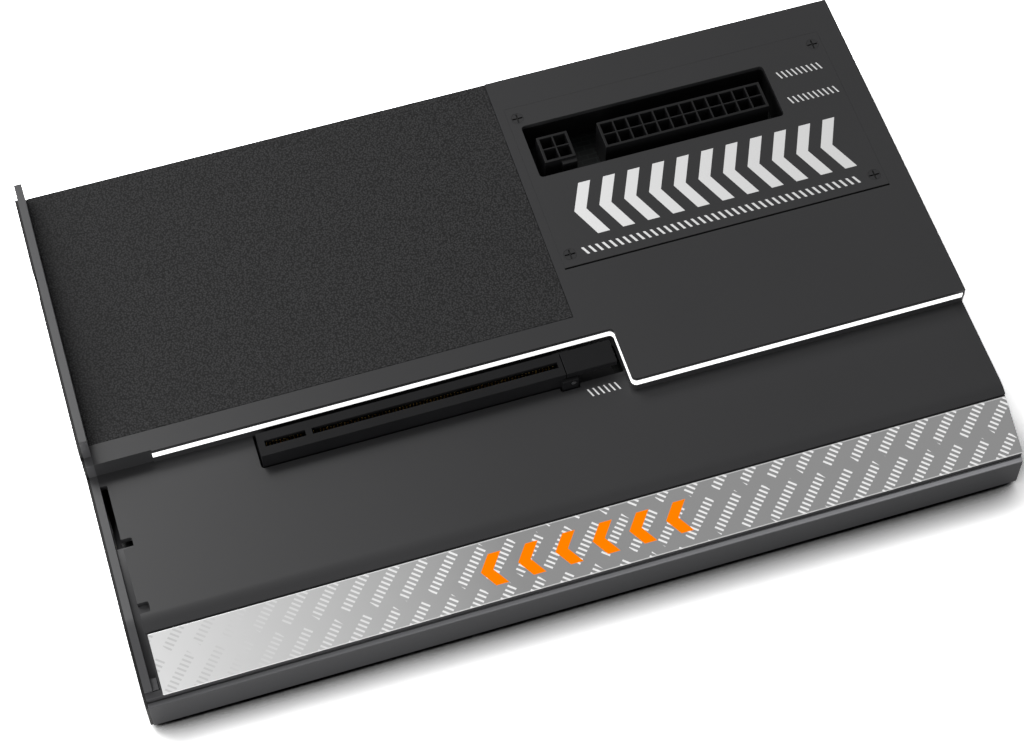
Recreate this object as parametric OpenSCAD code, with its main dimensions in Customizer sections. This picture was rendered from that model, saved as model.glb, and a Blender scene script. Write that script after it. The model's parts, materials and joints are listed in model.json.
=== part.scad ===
// Flat dock for an external graphics card: a two-level extruded shell with a card slot in the step,
// power headers in a well, a storage bay under a screwed cover and a bright strip along the front.
// Origin: middle of the footprint, on the table. X runs along the case, Y to its back, Z up.

/* [Case] */
// Overall length, from the foot of the left end plate to the right end cap
case_len = 254.2; // [246:0.2:274]
// Overall depth, front rail to back wall
case_dep = 161.2; // [158:0.2:175]
// Height of the upper deck above the table
deck_hi = 31; // [30.4:0.1:32]
// Height of the lower deck above the table
deck_lo = 24.8; // [24.4:0.1:25]
// Thickness of the upper deck
deck_t = 2.6; // [2.4:0.1:2.8]
// Thickness of the other shell walls
wall = 2; // [1.6:0.1:2.2]
// Thickness of the solid part of the step wall behind the light groove
step_back_t = 1.6; // [1.2:0.1:2.4]
// Clearance left between parts that are only laid together
gap = 0.2; // [0.1:0.05:0.3]

/* [Front] */
// Run of the slope, measured flat
slope_run = 15.8; // [14.8:0.1:16.4]
// Fall of the slope
slope_drop = 7.1; // [6.4:0.1:7.4]
// Run of the rounded crown between lower deck and slope
crown_run = 5; // [3:0.5:7]
// Distance from the front face to the foot of the slope
slope_set_back = 1.1; // [0.9:0.1:1.3]
// Thickness of the printed strip
strip_t = 0.8; // [0.6:0.1:1]
// Dark gap between the crown and the strip's upper edge
strip_gap = 0.5; // [0.3:0.1:0.8]
// Distance of the strip's right end from the end of the case
strip_end = 0.1; // [0.1:0.1:1]
// Distance of the strip's left end from the bracket channel
strip_start = 0.5; // [0.3:0.1:1]
// Depth of the front rail
rail_dep = 3; // [2.8:0.1:4]
// Height of the flat front face of the rail
face_h = 11.1; // [10.4:0.1:11.4]
// Rounding of the bead on top of that face
bead_r = 1.2; // [0.8:0.1:1.2]
// Width of the fine groove behind the bead
bead_groove = 0.3; // [0.2:0.1:0.4]
// Rounding of the rail's lower edge
rail_r = 0.4; // [0.2:0.1:0.6]

/* [End plates] */
// Thickness of the left end plate
plate_t = 2.2; // [2:0.1:3]
// Thickness of the black sheet on its outer face
sheet_t = 0.8; // [0.6:0.1:1]
// Height of the lip above the upper deck
lip_h = 8; // [4:0.2:10]
// Rounding of the lip's corners
lip_r = 0.5; // [0.3:0.1:2]
// Distance from the step wall back to the front end of the lip
lip_set_back = 3.3; // [2:0.1:6]
// Thickness of the right end cap
cap_t = 2; // [1.6:0.1:2.4]
// Lengths of the three vents near the front, from the front one backwards
vent_lens = [9, 9, 26];
// Height of those vents
vent_h = 10; // [6:0.5:11]
// Distance from the front face to the first vent
vent_start = 6.6; // [6:0.2:8]
// Metal left between two vents
vent_web = 5; // [4.6:0.2:6]

/* [Card slot] */
// Distance from the front face to the slot's centre line
slot_from_front = 60.1; // [59:0.1:62]
// Distance from the left end plate's inner face to the slot body
slot_from_plate = 44.9; // [42:0.1:48]
// Length of the slot body
slot_len = 88.4; // [88:0.1:90]
// Width of the slot body
slot_w = 7.5; // [7.2:0.1:8]
// Height of the slot body above the board
slot_h = 11.25; // [11:0.05:11.6]
// How far the slot's top lies below the upper deck
slot_below_deck = 0.6; // [0.4:0.1:1]
// Distance from the end of the body to the first groove
groove_in = 1.9; // [1.6:0.1:2.4]
// Length of the short groove
groove_short = 11.65; // [11:0.05:12]
// Width of the key between the grooves
key_w = 1.9; // [1.6:0.1:2.2]
// Length of the long groove
groove_long = 71.65; // [70:0.05:72]
// Width of the grooves at their mouth
groove_w = 1.9; // [1.7:0.1:2.2]
// Depth of the grooves
groove_deep = 8.2; // [7.8:0.1:8.6]
// Pitch of the contacts
contact_pitch = 1; // [1:0.05:1.3]
// Gap between the slot body and the edge of its opening in the deck
slot_gap = 0.6; // [0.4:0.05:0.8]

/* [Step and light] */
// Distance from the slot's centre line back to the step wall
step_from_slot = 6.74; // [6.2:0.02:8]
// Length of the latch bay between slot body and step wall
latch_bay = 17.35; // [17:0.05:22]
// How far the right part of the step lies in front of the left part
jog = 17.95; // [16:0.05:20]
// Rounding of the step wall's two corners
step_r = 1.5; // [1:0.1:2]
// Distance from the left end plate's inner face to the start of the light bar
light_from_plate = 16.2; // [12:0.2:30]
// How far the step wall is set back where it has no light bar
dark_set_back = 0.4; // [0.3:0.1:1.2]
// Height of the light bar
bar_h = 2.2; // [1.8:0.1:2.4]
// Metal left above the light bar
bar_lid = 1.4; // [1:0.1:1.6]
// Depth of the light bar
bar_d = 2.2; // [1.8:0.1:2.6]
// How far the light bar stands out of the step wall
bar_proud = 0.1; // [0.1:0.1:0.4]
// Rim of the end cap that covers the light bar's right end
bar_rim = 0.6; // [0.4:0.1:1]
// Thickness of the flexible light strip
flex_t = 0.4; // [0.3:0.1:0.6]
// Size of one light chip along the strip, through it and up
chip_size = [1.6, 0.7, 1.6];
// Pitch of the light chips
chip_pitch = 8; // [5:0.5:12]

/* [Bracket channel] */
// Width of the channel beside the left end plate
channel_w = 2; // [1.6:0.1:2.4]
// Distance from the slot's centre line back to the channel's end
channel_back = 3.4; // [2:0.2:5]
// Pitch of the bracket notches, as expansion slots have it
notch_pitch = 20.32; // [20:0.02:20.6]
// Distance from the slot's centre line forward to the first notch
notch_first = 15.9; // [14:0.1:17]
// Size of a notch along X and Y
notch_size = [3, 3.1];
// Rounding of a notch's corners
notch_r = 0.5; // [0.3:0.1:0.8]
// Height of the rail under the channel
rail_flange_h = 3.3; // [2.5:0.1:4]
// Reach of that rail from the end plate
rail_flange_w = 6.7; // [5.5:0.1:7]

/* [Power headers] */
// Pitch of the contacts
header_pitch = 4.2; // [4.2:0.05:4.3]
// Outer wall of a header
header_wall = 0.9; // [0.8:0.05:1.1]
// Side of a square cell
cell = 3.6; // [3.3:0.1:3.7]
// Height of a header above the board
header_h = 12.8; // [12:0.1:13]
// Thickness of a header's floor
header_floor = 2.8; // [2:0.1:4]
// Gap between the two headers
header_gap = 9.37; // [8:0.1:12]
// Clear space from the headers to the well's left, right, front and back edges
well_margins = [2.78, 3.5, 3.94, 6.06];
// Rounding of the well's corners
well_r = 1.2; // [0.6:0.1:2]
// Wall of the well's dark liner
liner_t = 1; // [0.8:0.1:1.2]

/* [Cover and pad] */
// Length of the cover plate
cover_len = 100.4; // [100:0.2:106]
// Depth of the cover plate
cover_dep = 59.8; // [59:0.2:64]
// Thickness of the cover plate
cover_t = 1.5; // [1.2:0.1:1.7]
// Distance from the right end to the cover plate
cover_from_right = 7; // [5:0.2:9]
// Distance from the back to the cover plate
cover_from_back = 11.1; // [10:0.1:13]
// Gap along the cover plate's front edge, for lifting it
cover_lift_gap = 0.6; // [0.3:0.05:0.8]
// Seam along the other edges of the cover plate
cover_seam = 0.03; // [0.02:0.01:0.2]
// Distance of the cover screws from the plate's edges along X and Y
cover_screw_in = [3, 4.2];
// Thickness of the textured pad
pad_t = 0.7; // [0.5:0.1:1.2]
// Depth of the recess that holds the pad
pad_recess = 0.6; // [0.4:0.1:0.8]
// Distance from the cover plate to the pad
pad_from_cover = 2.9; // [2:0.1:6]
// Distance from the step wall to the pad
pad_from_step = 6.9; // [4:0.1:12]

/* [Board and base] */
// Thickness of the circuit board
board_t = 1.6; // [1.2:0.1:2]
// Distance from the left end plate's inner face to the board
board_from_plate = 1.9; // [1.8:0.1:2.4]
// Distance from the back wall's inner face to the board
board_from_back = 8.6; // [8.2:0.1:10]
// Thickness of the base plate
base_t = 1.5; // [1.2:0.1:2]
// Height of the feet, which is also the gap under the case
foot_h = 1.9; // [1.5:0.1:2.5]
// Size of one foot along X and Y
foot_size = [36, 8];
// Distance of the feet from the ends and from the front and back faces
foot_in = [20, 6];
// Number of ventilation slots in the base plate
base_slots = 14; // [8:1:18]
// Length and width of one ventilation slot
base_slot_size = [34, 2.8];
// Pitch of the ventilation slots
base_slot_pitch = 8; // [7:0.5:9]

/* [Ports and button] */
// Distance of the rear small port from the back
rear_port_in = 8.1; // [8:0.1:12]
// Distance of the front small port from the slot's centre line
front_port_y = 28.8; // [28:0.2:31]
// Outer size of a small port along Y, Z and X
small_port = [8.94, 3.26, 7.4];
// Outer size of the wide port along Y, Z and X
wide_port = [13.1, 5.7, 14];
// Wall of the port shells
port_wall = 0.3; // [0.25:0.05:0.4]
// How far the port shells reach into the end plate
port_reach = 0.9; // [0.6:0.1:1.2]
// Room around the ports in the end plate
port_room = 0.5; // [0.3:0.1:0.8]
// Radius of the power button
button_r = 3.2; // [2.8:0.1:3.4]
// Distance of the button from the slot's centre line
button_y = 17.5; // [17.3:0.1:18.5]
// Height of the button's centre above the board
button_up = 4; // [3.8:0.1:4.2]
// Travel of the button
button_travel = 0.6; // [0.4:0.1:0.8]

/* [Fasteners] */
// Shank radius of the small screws in cover and ends
small_screw_r = 1; // [0.9:0.05:1.1]
// Head radius of the small screws
small_head_r = 1.9; // [1.8:0.05:2]
// Length of the small screws
small_screw_len = 5; // [4:0.5:6]
// Shank radius of the base screws and board screws
big_screw_r = 1.5; // [1.4:0.05:1.6]
// Head radius of the base screws and board screws
big_head_r = 2.8; // [2.6:0.1:3]
// Length of the base screws and board screws
big_screw_len = 7; // [6:0.5:8]
// Radial room around a screw shank in its hole
screw_room = 0.05; // [0.02:0.01:0.1]
// Metal around a screw hole in a boss
boss_wall = 1; // [0.9:0.1:1]

/* [Hidden] */
$fn = 48;
// Overrun of every cut past the face it goes through
over = 0.5;
// Steps in a drawn arc of a quarter turn
arc_steps = 8;

// Faces of the case
x_left = -case_len / 2;
x_right = case_len / 2;
x_plate = x_left + sheet_t;
x_in = x_plate + plate_t;
x_cap = x_right - cap_t;
y_back = case_dep / 2;
y_front = -case_dep / 2;
y_rail = y_front + rail_dep;
y_back_in = y_back - wall;
lo_in = deck_lo - wall;
hi_in = deck_hi - deck_t;
base_top = foot_h + base_t;
lip_top = deck_hi + lip_h;

// Slope at the front
slope_a = atan(slope_drop / slope_run);
crown_rad = crown_run / sin(slope_a);
slope_y = y_front + slope_set_back + slope_run;
slope_top = deck_lo - crown_rad * (1 - cos(slope_a));
crown_y = slope_y + crown_run;
face_top = foot_h + face_h;
bead_y = y_front + bead_r;
groove_y = bead_y + bead_groove;

// Card slot and board
slot_y = y_front + slot_from_front;
slot_top = deck_hi - slot_below_deck;
board_top = slot_top - slot_h;
board_low = board_top - board_t;
slot_x0 = x_in + slot_from_plate;
slot_x1 = slot_x0 + slot_len;
slot_front = slot_y - slot_w / 2;
slot_corner_r = 1;

// Step wall and light
step_y0 = slot_y + step_from_slot;
step_y1 = step_y0 - jog;
step_x = slot_x1 + latch_bay;
light_x0 = x_in + light_from_plate;
light_x1 = x_right - bar_rim;
bar_top = deck_hi - bar_lid;
bar_low = bar_top - bar_h;
flex_at = bar_d + chip_size[1] + gap;
light_deep = flex_at + flex_t + gap / 2;
step_t = light_deep + step_back_t;
// Width and place of the flexible lead that leaves the light strip
lead_w = 8;
lead_x = light_x0 + chip_pitch;
lead_t = 0.3;
lead_run = 4;
socket_h = 2.2;
socket_d = 3;

// Bracket channel
channel_x = x_in + channel_w;
channel_y1 = slot_y + channel_back;
rail_end_y = slot_y - notch_first;
// Stop at the front end of the channel: its length and how far it stays below the slope
stop_len = 3.1;
stop_below = 0.8;
// Legs of the bracket rail, each behind a web between two vents
leg_w = 3.6;

// Cover, well and headers
cover_x1 = x_right - cover_from_right;
cover_x0 = cover_x1 - cover_len;
cover_y1 = y_back - cover_from_back;
cover_y0 = cover_y1 - cover_dep;
header_w = header_pitch + cell + 2 * header_wall;
header_len_24 = 11 * header_pitch + cell + 2 * header_wall;
header_24_from_cover = 24.05;
header_back_from_cover = 13.49;
header_24_x = cover_x1 - header_24_from_cover - header_len_24;
header_4_x = header_24_x - header_gap - header_w;
header_y = cover_y1 - header_back_from_cover - header_w;
well_x0 = header_4_x - well_margins[0];
well_x1 = header_24_x + header_len_24 + well_margins[1];
well_y0 = header_y - well_margins[2];
well_y1 = header_y + header_w + well_margins[3];
well_gap = 0.2;
ledge = 6.6;
// Latch tab on the small header's front: width, depth and height
tab_size = [4.6, 1.5, 3.6];
tab_below = 0.8;
pin_side = 1.1;
pin_below = 5.5;

// Pad
pad_x1 = cover_x0 - pad_from_cover;
pad_y0 = step_y0 + pad_from_step;

// Board outline: a wide back part and a front part that carries the slot
board_x0 = x_in + board_from_plate;
board_x1 = x_cap - 4 * gap;
board_y1 = y_back_in - board_from_back;
board_front_x1 = step_x + channel_w;
board_y0 = slot_y - 2 * slot_w;
board_mid_y = slot_y + 2 * step_from_slot;
standoff_r = 2.9;
board_hole_in = 5;
standoff_places = [[board_x0 + 2 * board_hole_in, board_y1 - board_hole_in],
    [board_x1 - board_hole_in, board_y1 - board_hole_in],
    [board_x1 - board_hole_in, board_mid_y + board_hole_in],
    [board_front_x1 - board_hole_in, board_y0 + board_hole_in],
    [board_x0 + 2 * board_hole_in, board_y0 + board_hole_in]];

// Screw heads are cones whose height follows from their radii
small_head_h = small_head_r - small_screw_r;
big_head_h = big_head_r - big_screw_r;
round_head_h = 1.7;
boss_r = big_screw_r + screw_room + boss_wall;
small_boss_r = small_screw_r + screw_room + boss_wall;
// Metal beyond the end of a screw in its boss
boss_end = 2;
small_boss_len = small_screw_len + boss_end;
base_screw_in = 12.5;
base_back_in = boss_r + wall;
base_front_in = 28.6;
base_xs = [x_in + base_screw_in, 0, x_cap - base_screw_in];
base_ys = [y_front + base_front_in, y_back - base_back_in];
cover_screw_xs = [cover_x0 + cover_screw_in[0], cover_x1 - cover_screw_in[0]];
cover_screw_ys = [cover_y0 + cover_screw_in[1], cover_y1 - cover_screw_in[1]];
low_screw_y = y_front + base_front_in;
low_screw_z = lo_in - small_boss_r + over / 2;

// Vents in the left end plate
vent_y0s = [y_front + vent_start, y_front + vent_start + vent_lens[0] + vent_web,
    y_front + vent_start + vent_lens[0] + vent_lens[1] + 2 * vent_web];
vent_z0 = base_top + over;
leg_ys = [vent_y0s[1] - vent_web / 2, vent_y0s[2] - vent_web / 2];
leg_screw_z = vent_z0 + vent_h / 2;

// Ports and button
port_x0 = x_in - port_reach;
small_port_ys = [y_back - rear_port_in, slot_y + front_port_y];
wide_port_cy = (small_port_ys[0] + small_port_ys[1]) / 2;
// Screws through the end plates: two under the upper deck and one under the lower deck
deck_screw_front = 26.5;
deck_screw_ys = [wide_port_cy + (small_port_ys[0] - wide_port_cy) / 2, slot_y + deck_screw_front];
deck_screw_z = hi_in - small_boss_r + over / 2;
button_z = board_top + button_up;
button_cy = slot_y + button_y;
button_room = 0.1;
button_proud = 0.4;
flange_t = 0.7;
flange_rim = 0.8;
flange_r = button_r + flange_rim;
stem_r = 1.5;
stem_len = 3.4;
stem_end = x_in + stem_len;
switch_size = [6, 6.2, 7];
switch_in = 2.6;
switch_x0 = x_in + switch_in;

// Latch
latch_pivot_in = 1.9;
latch_pivot_drop = 3.5;
latch_pivot_x = slot_x1 + latch_pivot_in;
latch_pivot_z = slot_top - latch_pivot_drop;
latch_pin_r = 0.75;
latch_room = 0.05;
latch_round = 1.6;
latch_t = 2;
latch_end_room = 2.25;
latch_end = step_x - latch_end_room;
latch_side = 0.25;
latch_y0 = slot_y - slot_w / 2;
latch_y1 = slot_y + slot_w / 2;
// Ears on both sides of the latch that carry its pin
ear_t = 1.1;
ear_drop = 2;
ear_reach = 1.4;
ear_top = slot_top - ear_drop;
ear_x0 = slot_x1 - ear_reach;
ear_x1 = latch_pivot_x + ear_reach;
ear_y0 = latch_y0 - latch_side - ear_t;
ear_y1 = latch_y1 + latch_side + ear_t;
cradle_t = 1.8;

// Electronics on the board
chip_side = 17;
chip_h = 1.4;
sink_side = 32;
sink_base = 2;
sink_h = 7;
fin_t = 1.2;
fin_count = 8;
sink_gap = 2;
chip_x = (x_in + header_4_x) / 2;
chip_y = step_y0 + step_t + sink_gap + sink_side / 2;
sink_pin_r = 1.2;
inductor_side = 7;
inductor_h = 4.2;
inductor_pitch = 9.1;
capacitor_r = 3.15;
capacitor_h = 7.2;
capacitor_pitch = 8.2;
capacitor_in = 14.6;
storage_from_cover = [16.5, 14.3];
storage_y = cover_y0 + storage_from_cover[1];
storage_len = 80;
storage_x1 = cover_x1 - storage_from_cover[0];
storage_size = [8.7, 21.9, 4.2];
storage_slot_h = 1.1;
storage_cheek = 1;
post_r = 2.5;
post_h = 2.35;
post_x = storage_x1 - storage_len;
thermal_size = [60, 14, 4.6];

// Height of the slope at a given y, for a surface set in by t from the strip's face
function slope_z(y, t) = slope_top - (slope_y - y) * tan(slope_a) - t / cos(slope_a);

// Points of an arc about c
function arc(c, r, a0, a1) =
    [for (i = [0:arc_steps]) let (a = a0 + (a1 - a0) * i / arc_steps) c + r * [cos(a), sin(a)]];

// Points of a rectangle from p to q with rounded corners
function round_rect(p, q, r) = concat(
    arc([q[0] - r, q[1] - r], r, 0, 90),
    arc([p[0] + r, q[1] - r], r, 90, 180),
    arc([p[0] + r, p[1] + r], r, 180, 270),
    arc([q[0] - r, p[1] + r], r, 270, 360));

// Line of the step wall from x0 to x1, moved into the upper deck by d
function step_line(d, x0, x1) = concat(
    [[x0, step_y0 + d]],
    arc([step_x - step_r, step_y0 - step_r], step_r + d, 90, 0),
    d < step_r ? arc([step_x + step_r, step_y1 + step_r], step_r - d, 180, 270)
        : [[step_x + d, step_y1 + d]],
    [[x1, step_y1 + d]]);

function reversed(points) = [for (i = [len(points) - 1:-1:0]) points[i]];

// Band that follows the step wall between two depths
function step_band(d0, d1, x0, x1) = concat(step_line(d0, x0, x1), reversed(step_line(d1, x0, x1)));

// Lower deck's crown, from the deck to the slope
function crown() = arc([crown_y, deck_lo - crown_rad], crown_rad, 90, 90 + slope_a);

// Extrudes a shape drawn in Y and Z from x0 to x1
module along_x(x0, x1) {
    translate([x0, 0, 0])
        rotate([90, 0, 90])
            linear_extrude(x1 - x0)
                children();
}

// Extrudes a shape drawn in X and Z from y0 to y1
module along_y(y0, y1) {
    translate([0, y1, 0])
        rotate([90, 0, 0])
            linear_extrude(y1 - y0)
                children();
}

// Extrudes a shape drawn in X and Y from z0 to z1
module upright(z0, z1) {
    translate([0, 0, z0])
        linear_extrude(z1 - z0)
            children();
}

// Box from corner p to corner q
module block(p, q) {
    translate(p)
        cube(q - p);
}

module rod_x(x0, x1, y, z, r) {
    translate([x0, y, z])
        rotate([0, 90, 0])
            cylinder(r = r, h = x1 - x0);
}

module rod_z(x, y, z0, z1, r) {
    translate([x, y, z0])
        cylinder(r = r, h = z1 - z0);
}

// Screw with a flat conical head and a cross recess; its head faces +Z at the origin
module flat_screw(r, head_r, len) {
    head_h = head_r - r;
    cross_w = head_r * cross_w_share;
    cross_l = head_r * cross_l_share;
    difference() {
        union() {
            translate([0, 0, -head_h])
                cylinder(r1 = r, r2 = head_r, h = head_h);
            translate([0, 0, -len])
                cylinder(r = r, h = len);
        }
        for (a = [0, 90])
            rotate([0, 0, a])
                translate([-cross_l / 2, -cross_w / 2, -head_h / 2])
                    cube([cross_l, cross_w, head_h]);
    }
}
cross_w_share = 0.25;
cross_l_share = 1.7;

// Hole for such a screw, from its head face down
module flat_hole(r, head_r, len) {
    head_h = head_r - r;
    translate([0, 0, -head_h - screw_room])
        cylinder(r1 = r + screw_room, r2 = head_r + screw_room, h = head_h);
    translate([0, 0, -screw_room])
        cylinder(r = head_r + screw_room, h = over);
    translate([0, 0, -len - over])
        cylinder(r = r + screw_room, h = len + over);
}

// Places of the end screws and of the cap screws, each with its head facing outwards
module at_end_screws() {
    for (y = deck_screw_ys)
        translate([x_plate, y, deck_screw_z])
            rotate([0, -90, 0])
                children();
    for (y = leg_ys)
        translate([x_plate, y, leg_screw_z])
            rotate([0, -90, 0])
                children();
}

module at_cap_screws() {
    for (y = deck_screw_ys)
        translate([x_right, y, deck_screw_z])
            rotate([0, 90, 0])
                children();
    translate([x_right, low_screw_y, low_screw_z])
        rotate([0, 90, 0])
            children();
}

module shell_outside() {
    difference() {
        along_x(x_in, x_cap)
            polygon(concat([[y_rail, foot_h], [y_rail, slope_z(y_rail, strip_t)],
                [slope_y + strip_t * sin(slope_a), slope_top - strip_t * cos(slope_a)]],
                reversed(crown()), [[y_back, deck_lo], [y_back, foot_h]]));
        upright(lo_in - over, deck_lo + over) {
            polygon(round_rect([slot_x0 - slot_gap, slot_front - slot_gap], [step_x, step_y0 + wall],
                slot_corner_r));
            polygon(round_rect([ear_x0 - slot_gap, ear_y0 - slot_gap], [ear_x1 + slot_gap, step_y0],
                slot_gap));
        }
        block([x_in - over, y_rail - over, -over], [channel_x, channel_y1, deck_lo + over]);
        for (i = [0, 1])
            translate([channel_x, slot_y - notch_first - i * notch_pitch])
                upright(lo_in - over, deck_lo + over)
                    polygon(round_rect([-notch_size[0], -notch_size[1] / 2],
                        [notch_size[0], notch_size[1] / 2], notch_r));
    }
    upright(lo_in, deck_hi)
        polygon(concat([[x_in, y_back], [x_in, step_y0 + dark_set_back],
            [light_x0, step_y0 + dark_set_back]], step_line(0, light_x0, x_cap), [[x_cap, y_back]]));
}

module shell_hollow() {
    along_x(x_in - over, x_cap + over)
        polygon([[y_rail + wall, -over], [y_rail + wall, slope_z(y_rail + wall, strip_t + wall)],
            [inner_bend_y, lo_in], [y_back_in, lo_in], [y_back_in, -over]]);
    upright(lo_in - over, hi_in)
        polygon(concat(step_line(step_t, x_in - over, x_cap + over),
            [[x_cap + over, y_back_in], [x_in - over, y_back_in]]));
}
// Where the slope's inner face meets the lower deck's inner face
inner_bend_y = slope_y + (lo_in - slope_z(slope_y, strip_t + wall)) / tan(slope_a);

module shell_bosses() {
    for (x = base_xs) {
        rod_z(x, base_ys[0], base_top, lo_in + wall / 2, boss_r);
        rod_z(x, base_ys[1], base_top, hi_in + deck_t / 2, boss_r);
    }
    for (x = cover_screw_xs)
        for (y = cover_screw_ys)
            rod_z(x, y, deck_hi - small_screw_len - wall, hi_in + over, small_boss_r);
    for (y = deck_screw_ys) {
        rod_x(x_in, x_in + small_boss_len, y, deck_screw_z, small_boss_r);
        rod_x(x_cap - small_boss_len, x_cap, y, deck_screw_z, small_boss_r);
    }
    rod_x(x_cap - small_boss_len, x_cap, low_screw_y, low_screw_z, small_boss_r);
}

module top_shell() {
    color([0.27, 0.27, 0.28])
        difference() {
            union() {
                difference() {
                    shell_outside();
                    shell_hollow();
                }
                shell_bosses();
            }
            upright(bar_low, bar_top)
                polygon(step_band(-over, light_deep, light_x0, x_cap + over));
            block([lead_x - gap, step_y0 + flex_at, bar_low],
                [lead_x + lead_w + gap, step_y0 + step_t + over, bar_low + lead_t + 4 * gap]);
            block([x_in - over, pad_y0 - gap / 2, deck_hi - pad_recess],
                [pad_x1 + gap / 2, y_back + over, deck_hi + over]);
            block([cover_x0 - cover_seam, cover_y0 - cover_lift_gap, deck_hi - cover_t],
                [cover_x1 + cover_seam, cover_y1 + cover_seam, deck_hi + over]);
            block([well_x0 - liner_t - well_gap, cover_y0 + ledge, hi_in - over],
                [cover_x1 - ledge, well_y1 + liner_t + well_gap, deck_hi]);
            for (x = base_xs)
                for (y = base_ys)
                    rod_z(x, y, base_top - over, foot_h + big_screw_len + boss_end,
                        big_screw_r + screw_room);
            for (x = cover_screw_xs)
                for (y = cover_screw_ys)
                    rod_z(x, y, deck_hi - small_screw_len - over, deck_hi, small_screw_r + screw_room);
            at_end_screws()
                translate([0, 0, -small_screw_len - over])
                    cylinder(r = small_screw_r + screw_room, h = small_screw_len);
            at_cap_screws()
                translate([0, 0, -small_screw_len - over])
                    cylinder(r = small_screw_r + screw_room, h = small_screw_len);
        }
}

// Takes the windows and the button's hole out of the left end
module with_end_windows() {
    difference() {
        children();
        for (i = [0:2])
            along_x(x_left - over, x_in + over)
                polygon(round_rect([vent_y0s[i], vent_z0],
                    [vent_y0s[i] + vent_lens[i], vent_z0 + vent_h], well_r));
        for (y = small_port_ys)
            port_window(y, small_port);
        port_window(wide_port_cy, wide_port);
        rod_x(x_left - over, x_in + over, button_cy, button_z, button_r + button_room);
    }
}

module left_end_plate() {
    color([0.3, 0.3, 0.31])
        difference() {
            with_end_windows()
                along_x(x_plate, x_in)
                    polygon(concat([[y_rail, foot_h], [y_rail, slope_z(y_rail, 0)]], reversed(crown()),
                        [[step_y0 + dark_set_back, deck_lo], [step_y0 + dark_set_back, deck_hi],
                            [step_y0 + lip_set_back, deck_hi]],
                        arc([step_y0 + lip_set_back + lip_r, lip_top - lip_r], lip_r, 180, 90),
                        arc([y_back - lip_r, lip_top - lip_r], lip_r, 90, 0), [[y_back, foot_h]]));
            at_end_screws()
                flat_hole(small_screw_r, small_head_r, small_screw_len);
        }
}

// Black sheet on the outer face of the left end, cut back a little from the plate's outline
module side_sheet() {
    y_wall = step_y0 + dark_set_back + sheet_in;
    y_lip = step_y0 + lip_set_back + sheet_in;
    y_end = y_back - sheet_end;
    y_notch = y_end - sheet_notch[0];
    z_lip = lip_top - sheet_in;
    color([0.05, 0.05, 0.05])
        difference() {
            with_end_windows()
                along_x(x_left, x_plate)
                    polygon(concat([[y_front + sheet_in, foot_h + sheet_in], [y_front + sheet_in, face_top],
                        [y_rail + sheet_in, slope_z(y_rail, sheet_in)]],
                        [for (p = reversed(crown())) p - [0, sheet_in]],
                        [[y_wall, deck_lo - sheet_in], [y_wall, deck_hi - sheet_in],
                            [y_lip, deck_hi - sheet_in], [y_lip, z_lip], [y_notch - sheet_notch[1], z_lip],
                            [y_notch - sheet_notch[1], z_lip - sheet_notch[2]],
                            [y_notch, z_lip - sheet_notch[2]], [y_notch, z_lip], [y_end, z_lip],
                            [y_end, foot_h + sheet_in]]));
            at_end_screws()
                translate([0, 0, -over])
                    cylinder(r = small_head_r + screw_room, h = sheet_t + 2 * over);
        }
}
sheet_in = 0.3;
sheet_end = 5.5;
// Notch in the sheet's upper edge: distance from its back end, length and depth
sheet_notch = [25.5, 9.6, 5];

module port_window(y, size) {
    along_x(x_left - over, x_in + over)
        polygon(round_rect([y - size[0] / 2 - port_room, board_top - port_room],
            [y + size[0] / 2 + port_room, board_top + size[1] + port_room], port_room));
}

module right_end_cap() {
    color([0.27, 0.27, 0.28])
        difference() {
            along_x(x_cap, x_right)
                polygon(concat([[y_rail, foot_h], [y_rail, slope_z(y_rail, strip_t)],
                    [slope_y + strip_t * sin(slope_a), slope_top - strip_t * cos(slope_a)]],
                    reversed(crown()), [[step_y1, deck_lo], [step_y1, bar_low],
                        [step_y1 - bar_proud, bar_low], [step_y1 - bar_proud, bar_top],
                        [step_y1, bar_top], [step_y1, deck_hi], [y_back, deck_hi], [y_back, foot_h]]));
            block([x_cap - over, step_y1 - bar_proud - over, bar_low],
                [light_x1, step_y1 + light_deep, bar_top]);
            at_cap_screws()
                flat_hole(small_screw_r, small_head_r, small_screw_len);
        }
}

module front_rail() {
    color([0.3, 0.3, 0.31])
        along_x(x_plate, x_right)
            polygon(concat([[y_rail, foot_h]], arc([y_front + rail_r, foot_h + rail_r], rail_r, 270, 180),
                arc([bead_y, face_top], bead_r, 180, 90),
                [[bead_y, face_top + bead_r - bead_groove], [groove_y, face_top + bead_r - bead_groove],
                    [groove_y, slope_z(groove_y, strip_t)], [y_rail, slope_z(y_rail, strip_t)]]));
}

module front_strip() {
    y0 = slope_y - slope_run;
    y1 = slope_y - strip_gap;
    fall = [strip_t * sin(slope_a), -strip_t * cos(slope_a)];
    color([0.75, 0.75, 0.75])
        along_x(channel_x + strip_start, x_right - strip_end)
            polygon([[y1, slope_z(y1, 0)], [y1, slope_z(y1, 0)] + fall, [y0, slope_z(y0, 0)] + fall,
                [y0, slope_z(y0, 0)]]);
}

module grip_pad() {
    color([0.2, 0.2, 0.21])
        block([x_in + gap, pad_y0, deck_hi - pad_recess],
            [pad_x1, y_back - gap, deck_hi - pad_recess + pad_t]);
}

module light_bar() {
    color([1, 1, 1])
        upright(bar_low, bar_top)
            polygon(step_band(-bar_proud, bar_d, light_x0, light_x1));
}

module light_strip() {
    color([0.9, 0.9, 0.85])
        upright(bar_low, bar_top - gap)
            polygon(step_band(flex_at, flex_at + flex_t, light_x0 + gap, x_cap));
}

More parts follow.
